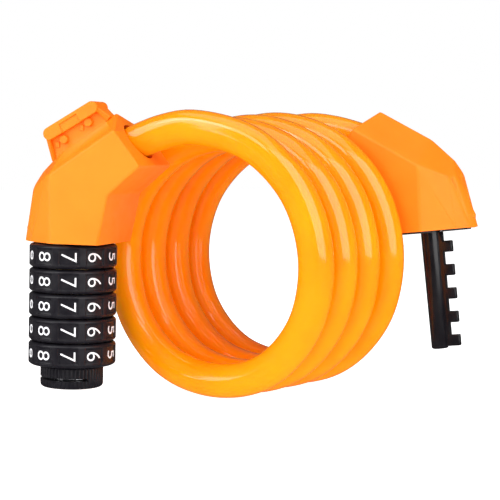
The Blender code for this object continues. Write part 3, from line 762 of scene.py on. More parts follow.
@dataclass
class SprungCable:
    """The coiled cable: a stranded steel rope inside a thick glossy sleeve."""

    middle: Point = (-3.6, 2.7, 0.0)
    coil_radius: float = 43.9
    turns: int = 4
    pitch: float = 14.6
    knots_per_turn: int = 12
    last_turn_slant: float = 2.2
    slant_from: float = 2.6
    slant_span: float = 0.5
    low_corner_bulge: float = 1.0
    top_sags: tuple[tuple[float, float], ...] = ((1, 2.1), (2, 1.0))
    top_sag_span: float = 0.3
    end_span: float = 0.3
    front_reach: float = 6.1
    back_reach: float = 5.3
    lock_lead: tuple[Point, ...] = ((-9.3, -38.2, 92.5),)
    plug_lead: tuple[Point, ...] = ((10.5, 36.6, 93.0),)
    inside: tuple[float, ...] = (-17.5, -10.0, -3.0, 2.5)
    hidden_end: float = 14.0
    radius: float = 6.0
    bore: float = 3.7
    rope_radius: float = 3.1
    step: float = 2.4
    sides: int = 36
    strands: int = 7
    lay_length: float = 34.0

    def top_sag(self, turns: float) -> float:
        """How far the coil hangs lower where its inner turns pass over the top.

        Args:
            turns: the place on the coil, counted in turns.

        Returns:
            The drop in mm.
        """
        sag = 0.0
        for at, depth in self.top_sags:
            away = abs(turns - at) / self.top_sag_span
            sag += depth * math.cos(math.pi / 2 * min(away, 1.0)) ** 2
        return sag

    def coil_point(self, turns: float) -> Vector:
        """A point of the coil's centre line.

        Args:
            turns: its place, counted in turns from the top by the lock head.

        Returns:
            The point in mm.
        """
        angle = 2 * math.pi * turns
        share = min(max((turns - self.slant_from) / self.slant_span, 0.0), 1.0)
        slant = self.last_turn_slant * share * math.sin(angle)
        forward = self.front_reach * max(1 - turns / self.end_span, 0.0) ** 2
        backward = self.back_reach * max(1 - (self.turns - turns) / self.end_span, 0.0) ** 2
        bulge = self.low_corner_bulge * math.sin(2 * angle) ** 2 if math.cos(angle) < 0 else 0.0
        x = (self.coil_radius + bulge) * math.sin(angle)
        y = self.pitch * (turns - self.turns / 2) + slant - forward + backward
        z = self.radius + self.coil_radius + (self.coil_radius + bulge) * math.cos(angle)
        z -= self.top_sag(turns)
        return Vector(self.middle) + Vector((x, y, z))

    def knots(self) -> list[Vector]:
        """The points that the cable is led through: out of the lock, round the coil, into the plug.

        Returns:
            The points in mm.
        """
        middle = Vector(self.middle)
        into_lock = [LOCK_FRAME.matrix @ (HOLE.along(s) * MM) / MM for s in self.inside]
        into_plug = [PLUG_FRAME.matrix @ (HOLE.along(s) * MM) / MM for s in reversed(self.inside)]
        count = self.turns * self.knots_per_turn
        coil = [self.coil_point(i / self.knots_per_turn) for i in range(count + 1)]
        first = [middle + Vector(p) for p in self.lock_lead]
        last = [middle + Vector(p) for p in self.plug_lead]
        return [*into_lock, *first, *coil, *last, *into_plug]

    def route(self) -> np.ndarray:
        """Even steps along the smooth curve through the knots.

        Returns:
            The points in metres, one to a row.
        """
        knots = self.knots()
        padded = [2 * knots[0] - knots[1], *knots, 2 * knots[-1] - knots[-2]]
        dense: list[Vector] = []
        for a, b, c, d in zip(padded, padded[1:], padded[2:], padded[3:]):
            dense += self.span(a, b, c, d)
        line = np.array([*dense, knots[-1]])
        lengths = np.concatenate([[0], np.cumsum(np.linalg.norm(np.diff(line, axis=0), axis=1))])
        even = np.linspace(0, lengths[-1], round(lengths[-1] / self.step) + 1)
        return np.stack([np.interp(even, lengths, line[:, i]) for i in range(3)], axis=1) * MM

    @staticmethod
    def span(a: Vector, b: Vector, c: Vector, d: Vector, steps: int = 40) -> list[Vector]:
        """Points from b to c on the centripetal Catmull-Rom curve through four knots.

        Args:
            a: the knot before.
            b: the knot where the points start.
            c: the knot that they lead to.
            d: the knot after.
            steps: how many points.

        Returns:
            The points, with b and without c.
        """
        t1 = (b - a).length ** 0.5
        t2 = t1 + (c - b).length ** 0.5
        t3 = t2 + (d - c).length ** 0.5
        points = []
        for i in range(steps):
            t = t1 + (t2 - t1) * i / steps
            ab = a.lerp(b, t / t1)
            bc = b.lerp(c, (t - t1) / (t2 - t1))
            cd = c.lerp(d, (t - t2) / (t3 - t2))
            abc = ab.lerp(bc, t / t2)
            bcd = bc.lerp(cd, (t - t1) / (t3 - t1))
            points.append(abc.lerp(bcd, (t - t1) / (t2 - t1)))
        return points

    def line(self, route: np.ndarray) -> bpy.types.Object:
        """Put the route in the scene as a chain of edges.

        Args:
            route: the centre line in metres.

        Returns:
            The chain.
        """
        mesh = bpy.data.meshes.new("cable_line")
        mesh.from_pydata(route.tolist(), [(i, i + 1) for i in range(len(route) - 1)], [])
        return linked("cable_line", mesh)

    def make_sleeve(self, route: np.ndarray) -> bpy.types.Object:
        """Sweep the sleeve's round section along the route and give it its wall.

        Args:
            route: the centre line in metres.

        Returns:
            The sleeve.
        """
        tree = Repeater("sleeve_along_route")
        radius = tree.setting("Radius", Kind.NUMBER, self.radius * MM)
        sides = tree.setting("Sides", Kind.COUNT, self.sides)
        path = tree.step("GeometryNodeMeshToCurve", {"Mesh": tree.start.outputs[0]})
        ring = tree.step("GeometryNodeCurvePrimitiveCircle", {"Resolution": sides, "Radius": radius})
        tube = tree.step(
            "GeometryNodeCurveToMesh", {"Curve": path.outputs[0], "Profile Curve": ring.outputs[0]}
        )
        sleeve = tree.run("cable_sleeve_skin", tube.outputs[0], SLEEVE.material(), self.line(route))
        wall = sleeve.modifiers.new("wall", "SOLIDIFY")
        wall.thickness = (self.radius - self.bore) * MM
        wall.offset = -1.0
        return settled(sleeve, 60)

    def make_rope(self, route: np.ndarray) -> bpy.types.Object:
        """Lay the rope's outer strands along the route, and one straight strand in their middle.

        Args:
            route: the centre line in metres.

        Returns:
            The rope.
        """
        strand = self.rope_radius / 3
        orbit = self.rope_radius - strand
        along = np.gradient(route, axis=0)
        along /= np.linalg.norm(along, axis=1)[:, None]
        side = np.cross(along, np.array([0.0, 1.0, 0.001]))
        side /= np.linalg.norm(side, axis=1)[:, None]
        over = np.cross(side, along)
        distance = np.arange(len(route)) * self.step
        points = [route]
        edges = [np.stack([np.arange(len(route) - 1), np.arange(1, len(route))], 1)]
        for i in range(self.strands - 1):
            angle = 2 * math.pi * (distance / self.lay_length + i / (self.strands - 1))
            offset = np.cos(angle)[:, None] * side + np.sin(angle)[:, None] * over
            points.append(route + offset * orbit * MM)
            edges.append(edges[0] + len(route) * (i + 1))
        mesh = bpy.data.meshes.new("rope_lines")
        mesh.from_pydata(np.concatenate(points).tolist(), np.concatenate(edges).tolist(), [])
        tree = Repeater("strands_along_route")
        radius = tree.setting("Strand radius", Kind.NUMBER, strand * MM)
        path = tree.step("GeometryNodeMeshToCurve", {"Mesh": tree.start.outputs[0]})
        ring = tree.step("GeometryNodeCurvePrimitiveCircle", {"Resolution": 8, "Radius": radius})
        laid = tree.step(
            "GeometryNodeCurveToMesh",
            {"Curve": path.outputs[0], "Profile Curve": ring.outputs[0], "Fill Caps": True},
        )
        return tree.run("cable_rope", laid.outputs[0], ROPE.material(), linked("rope_lines", mesh))

    def stretch_with_plug(self, piece: bpy.types.Object, route: np.ndarray, ends: int) -> None:
        """Lay a piece of the cable straight by the way along it, each cross-section on one point, and wind it
        up again.

        The straight places go by the way along the cable and are spread by an arc sine. The piece's transform
        is baked while it lies straight, and its wound points are then put back.

        Args:
            piece: the sleeve or the rope.
            route: the cable's centre line in metres.
            ends: how many of its points at either end lie still in a head.
        """
        nearest = KDTree(len(route))
        for index, point in enumerate(route):
            nearest.insert(point, index)
        nearest.balance()
        vertices = piece.data.vertices
        wound = np.empty(3 * len(vertices))
        vertices.foreach_get("co", wound)
        place = np.array([nearest.find(point)[1] for point in wound.reshape(-1, 3)])
        share = np.clip((place - ends) / (len(route) - 1 - 2 * ends), 0.0, 1.0)
        straight = np.zeros((len(vertices), 3))
        straight[:, 0] = 0.5 - np.sin(np.arcsin(1.0 - 2.0 * share) / 3.0)
        vertices.foreach_set("co", straight.ravel())
        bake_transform(piece)
        vertices.foreach_set("co", wound)
        piece.data.update()

    def build(self) -> None:
        route = self.route()
        ends = round(self.hidden_end / self.step)
        shown = route[ends:-ends]
        sleeve = self.make_sleeve(shown)
        rope = self.make_rope(route)
        for piece, node, slot in ((sleeve, "cable_sleeve", Slot.CABLE), (rope, "cable_core", Slot.ROPE)):
            self.stretch_with_plug(piece, route, ends)
            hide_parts(node)
        hole = LOCK_FRAME.matrix @ (HOLE.along(0.0) * MM)
        LOG.info("cable rope, %d faces", len(rope.data.polygons))


@dataclass
class Housing:
    """A head's hood: a faceted moulding with soft edges, open below, with a hole for the cable."""

    prefix: str
    seat: HeadFrame
    body: Body
    half_width: float = 15.3
    wall: float = 1.5
    edge: float = 0.9
    ridge_front: FlatPoint = (15.5, 45.0)
    ridge_back: FlatPoint = (-3.5, 32.7)
    spine_top: FlatPoint = (-12.1, 23.8)
    spine_rim: float = -18.2
    eave_front: FlatPoint = (20.6, 39.0)
    eave_back: FlatPoint = (-3.0, 23.4)
    nose: FlatPoint = (30.2, 27.0)
    throat: FlatPoint = (18.8, 17.0)
    rim_front: float = 15.4
    rim_side: float = -2.0
    rim_trim: float = 0.02
    cheek_top: Point = (-11.8, 8.1, 18.3)
    cheek_rim: FlatPoint = (-12.9, 8.1)
    flute_top: Point = (-13.2, 4.0, 19.2)
    flute_rim: FlatPoint = (-16.4, 4.0)
    grip_steps: tuple[tuple[float, float], ...] = ((23.2, 17.0), (15.6, 9.6), (8.4, 2.4))
    grip_stand: float = 0.75
    grip_foot: float = 2.0
    grip_root: float = 2.6
    grip_flare: float = 0.9
    grip_half_width: float = 3.4
    grip_edge: float = 0.25
    boss_spot: FlatPoint = (10.5, 10.9)
    boss_radius: float = 3.1
    boss_bore: float = 1.4
    boss_foot: float = 2.1
    boss_top: float = 15.0

    def corners(self) -> list[Point]:
        """The outer corners, without the hollow under the nose.

        Returns:
            The corners in the head's frame, in mm.
        """
        middle = [(x, 0.0, z) for x, z in (self.ridge_front, self.ridge_back, self.spine_top)]
        middle.append((self.spine_rim, 0.0, 0.0))
        sides = (self.half_width, -self.half_width)
        edges = (self.eave_front, self.eave_back, self.nose, (self.rim_front, 0.0), (self.rim_side, 0.0))
        paired = [(x, y, z) for x, z in edges for y in sides]
        for x, y, z in (self.cheek_top, (*self.cheek_rim, 0.0), self.flute_top, (*self.flute_rim, 0.0)):
            paired += [(x, y, z), (x, -y, z)]
        return middle + paired

    def spine_at(self, z: float) -> float:
        """The spine's x at a height."""
        top_x, top_z = self.spine_top
        return top_x + (self.spine_rim - top_x) * (top_z - z) / top_z

    def grip(self, top: float, low: float) -> bpy.types.Object:
        """One shallow step on the spine, proud at its foot.

        Args:
            top: the height where it starts, flush with the spine.
            low: the height of its foot.

        Returns:
            The step, a closed wedge.
        """
        foot = low + self.grip_foot
        sides = (-self.grip_half_width, self.grip_half_width)
        crest = [(self.spine_at(top) - 0.05, 0.0, top), (self.spine_at(foot) - self.grip_stand, 0.0, foot)]
        crest.append((self.spine_at(low), 0.0, low))
        back = [(self.spine_at(z) + self.grip_root, y, z) for z in (top - 0.6, low + 0.4) for y in sides]
        flare = [(self.spine_at(foot) + self.grip_flare, y, foot) for y in sides]
        return hull("grip_step", crest + back + flare)

    def hood(self) -> bpy.types.Object:
        """Make the hood's wall with its rounded edges, grip steps, bosses and cable hole.

        Returns:
            The hood in the head's frame.
        """
        hood = hull(self.prefix + "_housing_shell", self.corners())
        beyond = self.nose[0] + 9
        under = [(self.rim_front, -1.0), (beyond, -1.0), (beyond, self.nose[1]), self.nose, self.throat]
        under.append((self.rim_front, 0.0))
        combined(hood, upright_plate("under_nose", under, self.half_width + 3))
        self.soften_and_open(hood)
        solid = hood.modifiers.new("wall", "SOLIDIFY")
        solid.thickness = self.wall * MM
        solid.offset = -1.0
        settled(hood)
        for top, low in self.grip_steps:
            step = rounded(self.grip(top, low), self.grip_edge, segments=2, over=15.0)
            combined(hood, step, Change.ADD)
        for side in (1, -1):
            low = Vector((self.boss_spot[0], side * self.boss_spot[1], self.boss_foot))
            high = Vector((low.x, low.y, self.boss_top))
            combined(hood, rod("boss", self.boss_radius, low, high), Change.ADD)
            bore_end = high - Vector((0, 0, 3))
            combined(hood, rod("boss_bore", self.boss_bore, low - Vector((0, 0, 1)), bore_end))
        combined(hood, rod("cable_hole", HOLE.radius, HOLE.along(-6.0), HOLE.along(9.0), sides=64))
        return hood

    def soften_and_open(self, hood: bpy.types.Object) -> None:
        """Round every crease but the rim, then take off the faces in the rim's plane.

        Args:
            hood: the closed hood.
        """
        shape = bmesh.new()
        shape.from_mesh(hood.data)
        bmesh.ops.remove_doubles(shape, verts=shape.verts, dist=1e-6)
        bmesh.ops.dissolve_limit(shape, angle_limit=math.radians(0.5), verts=shape.verts, edges=shape.edges)
        shape.normal_update()
        rim = {f for f in shape.faces if f.normal.z < -0.99 and f.calc_center_median().z < 0.1 * MM}
        creases = [
            e for e in shape.edges
            if not rim.intersection(e.link_faces) and e.calc_face_angle(0.0) > math.radians(5)
        ]
        bmesh.ops.bevel(
            shape, geom=creases, offset=self.edge * MM, offset_type="OFFSET", segments=4, profile=0.5,
            affect="EDGES", clamp_overlap=True,
        )
        shape.normal_update()
        everything = [*shape.verts, *shape.edges, *shape.faces]
        bmesh.ops.bisect_plane(
            shape, geom=everything, plane_co=(0, 0, self.rim_trim * MM), plane_no=(0, 0, -1), clear_outer=True
        )
        for v in shape.verts:
            if any(e.is_boundary for e in v.link_edges):
                v.co.z = 0.0
        shape.to_mesh(hood.data)
        shape.free()

    def build(self) -> None:
        """Make the hood, dress it and let it ride on its head."""
        hood = self.hood()
        self.add_details(hood)
        hood.data.materials.clear()
        hood.data.materials.append(SHELL.material())
        weigh = hood.modifiers.new("flat_faces", "WEIGHTED_NORMAL")
        weigh.keep_sharp = True
        settled(hood)
        self.seat.set_down(hood)
        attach(hood, self.body.value)
        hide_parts(self.prefix + "_housing")
        LOG.info("%s housing, %d faces", self.prefix, len(hood.data.polygons))

    def add_details(self, hood: bpy.types.Object) -> None:
        """Join what only one kind of head has; a plain hood has nothing more."""


@dataclass
class RailHousing(Housing):
    """The lock head's hood, with the bracket rail and its four studs moulded on the ridge."""

    rail_half_width: float = 5.0
    neck_half_width: float = 2.6
    wall_half_width: float = 4.5
    rail_slope: float = 30.3
    rail_length: float = 22.6
    rail_thickness: float = 4.4
    rail_middle: FlatPoint = (0.2, 41.9)
    rail_recess: FlatPoint = (-4.4, 3.2)
    rail_recess_depth: float = 0.6
    rail_recess_top: float = 0.9
    flange_edge: float = 0.45
    neck_insets: FlatPoint = (1.6, 1.0)
    neck_foot: tuple[FlatPoint, ...] = ((-6.6, 27.2), (-2.0, 30.2), (12.6, 39.8), (12.8, 44.3))
    low_wall_foot: tuple[FlatPoint, ...] = ((-7.3, 27.6), (-5.6, 28.6))
    high_wall_foot: tuple[FlatPoint, ...] = ((13.0, 41.6), (14.2, 43.6))
    wall_top: tuple[FlatPoint, ...] = ((0.3, -0.8), (1.5, -1.5))
    wall_edge: float = 0.3
    stud_radius: float = 1.5
    stud_spots: tuple[FlatPoint, ...] = ((-2.6, 35.4), (6.4, 41.4))
    stud_reach: float = 3.9
    stud_edge: float = 0.35
    pad_size: FlatPoint = (1.5, 2.0)
    pad_away: float = 3.0
    pad_drop: float = 0.3
    pad_stand: float = 0.5
    pad_edge: float = 0.25

    def rail_point(self, along: float, up: float) -> FlatPoint:
        """A point of the rail's side view.

        Args:
            along: how far it is up the slope from the rail's middle, in mm.
            up: how far it is square to the slope, in mm.

        Returns:
            The point in XZ.
        """
        slope = math.radians(self.rail_slope)
        x = self.rail_middle[0] + along * math.cos(slope) - up * math.sin(slope)
        z = self.rail_middle[1] + along * math.sin(slope) + up * math.cos(slope)
        return x, z

    def flange(self) -> bpy.types.Object:
        """Make the rail's round-ended flange with a shallow pocket on each side.

        Returns:
            The flange in the head's frame.
        """
        end, half = self.rail_length / 2, self.rail_thickness / 2
        outline = [self.rail_point(*p) for p in arc((end - half, 0), half, -90, 90, 16)]
        outline += [self.rail_point(*p) for p in arc((-end + half, 0), half, 90, 270, 16)]
        flange = upright_plate("rail_flange", outline, self.rail_half_width)
        low, high = self.rail_recess
        floor, roof = -half - 1, self.rail_recess_top
        span = [self.rail_point(*p) for p in ((low, floor), (high, floor), (high, roof), (low, roof))]
        for side in (1, -1):
            pocket = upright_plate("rail_pocket", span, 1.0)
            offset = side * (self.rail_half_width - self.rail_recess_depth + 1.0)
            pocket.data.transform(Matrix.Translation((0, offset * MM, 0)))
            combined(flange, pocket)
        return rounded(flange, self.flange_edge, segments=3, over=40.0)

    def add_details(self, hood: bpy.types.Object) -> None:
        """Join the rail, its studs and the small pads beside them to the hood.

        Args:
            hood: the lock head's hood.
        """
        end = self.rail_length / 2
        low_inset, high_inset = self.neck_insets
        neck = [self.rail_point(-end + low_inset, 0), *self.neck_foot, self.rail_point(end - high_inset, 0)]
        combined(hood, upright_plate("rail_neck", neck, self.neck_half_width), Change.ADD)
        low_top = [self.rail_point(-end + inset, up) for inset, up in self.wall_top]
        high_top = [self.rail_point(end - inset, up) for inset, up in reversed(self.wall_top)]
        for top, foot in ((low_top, self.low_wall_foot), (high_top, self.high_wall_foot)):
            corners = [(x, side * self.wall_half_width, z) for x, z in top for side in (1, -1)]
            corners += [(x, side * self.neck_half_width, z) for x, z in foot for side in (1, -1)]
            wall = rounded(hull("rail_wall", corners), self.wall_edge, segments=3, over=30.0)
            combined(hood, wall, Change.ADD)
        combined(hood, self.flange(), Change.ADD)
        for spot in self.stud_spots:
            combined(hood, self.stud(spot), Change.ADD)
            combined(hood, self.pad(spot), Change.ADD)

    def stud(self, spot: FlatPoint) -> bpy.types.Object:
        """Make a round stud that stands out on both sides of the neck.

        Args:
            spot: its middle in XZ.

        Returns:
            The stud.
        """
        near, far = (Vector((spot[0], y, spot[1])) for y in (-self.stud_reach, self.stud_reach))
        stud = rod("rail_stud", self.stud_radius, near, far)
        return rounded(stud, self.stud_edge, segments=3, over=40.0)

    def pad(self, spot: FlatPoint) -> bpy.types.Object:
        """Make the small square pad down the slope from a stud.

        Args:
            spot: the stud's middle in XZ.

        Returns:
            The pad, which stands out on both sides of the neck.
        """
        slope = math.radians(self.rail_slope)
        x = spot[0] - self.pad_away * math.cos(slope)
        z = spot[1] - self.pad_away * math.sin(slope) - self.pad_drop
        wide, tall = self.pad_size[0] / 2, self.pad_size[1] / 2
        outline = [(x - wide, z - tall), (x + wide, z - tall), (x + wide, z + tall), (x - wide, z + tall)]
        pad = upright_plate("rail_pad", outline, self.neck_half_width + self.pad_stand)
        return rounded(pad, self.pad_edge, segments=2, over=40.0)


# ---------------------------------------------------------------- dial stack
@dataclass
class DialStack:
    """Five dials with ten sunk panels each, and a white digit on every panel."""

    count: int = 5
    pitch: float = 8.5
    top: float = -0.5
    gap: float = 0.3
    radius: float = 15.2
    bore: float = 9.8
    notch_depth: float = 1.0
    notch_half: float = 1.4
    digits: int = 10
    seven_at: float = -72.0
    digit_height: float = 5.2
    digit_stand: float = 0.10
    digit_root: float = 0.06
    panel_half: float = 3.50
    panel_depth: float = 0.50
    panel_low: float = 1.2
    wall_run: float = 0.16
    panel_columns: FlatPoint = (1.3, 2.5)
    crisp: float = 0.18
    chamfer: tuple[FlatPoint, ...] = ((1.25, 0.0), (1.05, 0.02), (0.42, 0.34), (0.06, 0.78))
    bore_chamfer: float = 0.25

    @property
    def height(self) -> float:
        """A dial's own height."""
        return self.pitch - self.gap

    def level(self, index: int) -> float:
        """The height of the underside of a dial, counted from the top."""
        return self.top - index * self.pitch - self.height

    def body(self, index: int) -> bpy.types.Object:
        """One dial: a chamfered ring whose outside is sunk in ten panels.

        Args:
            index: which dial, from the top.

        Returns:
            The dial in the head's frame, on z = 0.
        """
        arc_step = 2 * math.pi * self.radius / self.digits
        foot, half = self.panel_half - self.wall_run, self.panel_half
        right = [*self.panel_columns, foot - self.crisp, foot, half, half + 0.15]
        across = [-u for u in reversed(right)] + [0.0] + right + [arc_step / 2]
        offsets = np.array([k * arc_step + u for k in range(self.digits) for u in across])
        local = np.array(across * self.digits)
        angles = math.radians(self.seven_at) + offsets / self.radius
        high = self.height
        low, wall = self.panel_low, self.wall_run
        rise = [*self.chamfer, (0.0, low - 0.14), (0.0, low)]
        rise += [(0.0, low + wall), (0.0, low + wall + self.crisp), (0.0, high / 2)]
        outer = [(self.radius - cut, z) for cut, z in rise]
        outer += [(r, high - z) for r, z in reversed(outer[:-1])]
        bore, lead = self.bore, self.bore_chamfer
        inner = [(bore + lead, high), (bore, high - lead), (bore, high / 2), (bore, lead), (bore + lead, 0.0)]
        points = np.zeros((len(outer) + len(inner), len(angles), 3))
        for i, (radius, z) in enumerate([*outer, *inner]):
            r = np.full(len(angles), radius)
            if i < len(outer) and low + wall - 0.01 < z < high - low - wall + 0.01:
                r[np.abs(local) < foot + 0.01] -= self.panel_depth
            elif i >= len(outer):
                r[np.abs(local) < self.notch_half] += self.notch_depth
            points[i] = np.stack([r * np.cos(angles), r * np.sin(angles), np.full(len(angles), z)], axis=1)
        dial = grid_mesh(f"dial_{index + 1}_ring", points)
        soft = dial.modifiers.new("soft", "SUBSURF")
        soft.levels = soft.render_levels = 1
        return settled(dial, 60)

    def flat_digit(self, value: int) -> bmesh.types.BMesh:
        """A digit as a flat mesh, centred, with its top towards +X.

        Args:
            value: the digit.

        Returns:
            The mesh, in mm.
        """
        text = bpy.data.curves.new("digit", "FONT")
        text.body = str(value)
        text.resolution_u = 6
        text.offset = -0.012
        holder = linked("digit", text)
        bpy.context.view_layer.update()
        graph = bpy.context.evaluated_depsgraph_get()
        mesh = bpy.data.meshes.new_from_object(holder.evaluated_get(graph))
        bpy.data.objects.remove(holder, do_unlink=True)
        shape = bmesh.new()
        shape.from_mesh(mesh)
        bmesh.ops.remove_doubles(shape, verts=shape.verts, dist=1e-5)
        places = np.array([v.co for v in shape.verts])
        low, high = places.min(0), places.max(0)
        middle = (low + high) / 2
        scale = self.digit_height / (high[1] - low[1])
        for v in shape.verts:
            x, y = (v.co.x - middle[0]) * scale, (v.co.y - middle[1]) * scale
            v.co = (y, -x, 0)
        return shape

    def wrapped_digit(self, value: int) -> bpy.types.Object:
        """Lay a digit round the panel that faces +X, with a small thickness.

        Args:
            value: the digit.

        Returns:
            The digit in the head's frame, centred on z = 0.
        """
        shape = self.flat_digit(value)
        for cut in np.arange(-self.digit_height / 2, self.digit_height / 2, 0.5):
            everything = [*shape.verts, *shape.edges, *shape.faces]
            bmesh.ops.bisect_plane(shape, geom=everything, plane_co=(cut, 0, 0), plane_no=(1, 0, 0))
        floor = self.radius - self.panel_depth
        for v in shape.verts:
            angle = v.co.x / floor
            v.co = (floor * math.cos(angle), floor * math.sin(angle), v.co.y)
        bmesh.ops.recalc_face_normals(shape, faces=shape.faces)
        if sum(f.normal.x * f.calc_area() for f in shape.faces) < 0:
            bmesh.ops.reverse_faces(shape, faces=shape.faces)
        digit = from_bmesh(f"digit_{value}", shape)
        ink = digit.modifiers.new("ink", "SOLIDIFY")
        thickness = self.digit_stand + self.digit_root
        ink.thickness = thickness * MM
        ink.offset = 1.0 - 2 * self.digit_root / thickness
        return settled(digit, 40)

    def digit_ring(
        self, index: int, shapes: bpy.types.Collection, white: bpy.types.Material
    ) -> bpy.types.Object:
        """Ten digits round one dial, falling anticlockwise.

        Args:
            index: which dial, from the top.
            shapes: the ten digits, in order.
            white: their finish.

        Returns:
            The digits in the head's frame, centred on z = 0.
        """
        tree = Repeater(f"digits_round_dial_{index + 1}")
        count = tree.setting("Count", Kind.COUNT, self.digits)
        first = tree.setting("First angle", Kind.NUMBER, math.radians(self.seven_at + 7 * 360 / self.digits))
        turn = tree.setting("Turn", Kind.NUMBER, -2 * math.pi / self.digits)
        source = tree.setting("Digits", Kind.COLLECTION, shapes)
        each = tree.step(
            "GeometryNodeCollectionInfo",
            {"Collection": source, "Separate Children": True, "Reset Children": True},
        )
        ring = tree.around(count, first, turn, each.outputs[0])
        return tree.run(f"dial_{index + 1}_digits", ring, white)

    def build(self) -> None:
        """Make every dial and its digits, each on its own body."""
        black = DIAL_BLACK.material()
        white = DIGIT_WHITE.material()
        shapes = bpy.data.collections.new("digit_shapes")
        for value in range(self.digits):
            digit = self.wrapped_digit(value)
            bpy.context.scene.collection.objects.unlink(digit)
            shapes.objects.link(digit)
        for index in range(self.count):
            ring = LOCK_FRAME.set_down(self.body(index), self.level(index))
            ring.data.materials.append(black)
            digits = self.digit_ring(index, shapes, white)
            LOCK_FRAME.set_down(digits, self.level(index) + self.height / 2)
            name = f"dial_{index + 1}"
            for piece in (ring, digits):
                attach(piece, name)
            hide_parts(name)
            LOG.info("%s, %d faces; its digits, %d", name, len(ring.data.polygons), len(digits.data.polygons))
        for digit in list(shapes.objects):
            bpy.data.objects.remove(digit, do_unlink=True)
        bpy.data.collections.remove(shapes)


@dataclass
class ResetKnob:
    """The ribbed knob under the dials, with the slit that its clip goes in by."""

    radius: float = 10.95
    top: float = -43.2
    bottom: float = -50.6
    bore: float = 5.95
    ledge_radius: float = 9.6
    ledge_depth: float = 1.0
    round_edge: float = 1.3
    ribs: int = 48
    per_rib: int = 6
    rib_depth: float = 0.38
    rib_width_power: float = 1.6
    slit_middle: float = -47.3
    slit_half: float = 0.45
    slit_floor: float = 7.0
    slit_from: float = -216.0
    slit_to: float = -36.0

    def profile(self) -> list[tuple[float, float, float, bool]]:
        """The knob's section from the lower bore up the outside and back.

        Returns:
            Rows of radius, height, share of the ribs' depth, and whether the slit's floor is there.
        """
        edge, foot = self.round_edge, self.bottom
        rows = [(self.bore + 0.3, foot, 0.0, False), (self.radius - edge - 0.4, foot, 0.0, False)]
        for i in range(5):
            turn = math.pi / 2 * i / 4
            radius = self.radius - edge * (1 - math.sin(turn))
            rows.append((radius, foot + edge * (1 - math.cos(turn)), min(1.0, i / 3), False))
        low, high = self.slit_middle - self.slit_half, self.slit_middle + self.slit_half
        steps = ((low - 0.15, False), (low, False), (low + 0.05, True))
        steps += ((high - 0.05, True), (high, False), (high + 0.15, False))
        rows += [(self.radius, z, 1.0, floor) for z, floor in steps]
        rows += [(self.radius, self.top - 0.6, 1.0, False), (self.radius - 0.1, self.top - 0.35, 0.4, False)]
        ledge = self.top - self.ledge_depth
        inner = ((self.radius - 0.45, self.top), (self.ledge_radius, self.top), (self.ledge_radius, ledge))
        inner += ((self.bore, ledge), (self.bore, foot + 0.3))
        rows += [(radius, z, 0.0, False) for radius, z in inner]
        return rows

    def build(self) -> None:
        """Make the knob, dress it and let it turn."""
        columns = self.ribs * self.per_rib
        angles = 2 * np.pi * np.arange(columns) / columns
        wave = 0.5 - 0.5 * np.cos(self.ribs * angles)
        valley = wave**self.rib_width_power
        from_start = np.mod(np.degrees(angles) - self.slit_from, 360)
        open_slit = from_start < self.slit_to - self.slit_from
        rows = self.profile()
        points = np.zeros((len(rows), columns, 3))
        for i, (radius, z, share, floor) in enumerate(rows):
            r = radius - self.rib_depth * share * valley
            if floor:
                r = np.where(open_slit, self.slit_floor, r)
            points[i] = np.stack([r * np.cos(angles), r * np.sin(angles), np.full(columns, z)], axis=1)
        knob = settled(grid_mesh("reset_knob_ribbed", points), 50)
        knob.data.materials.append(DIAL_BLACK.material())
        LOCK_FRAME.set_down(knob)
        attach(knob, Body.KNOB.value)
        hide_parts("reset_knob")
        LOG.info("reset knob, %d faces", len(knob.data.polygons))


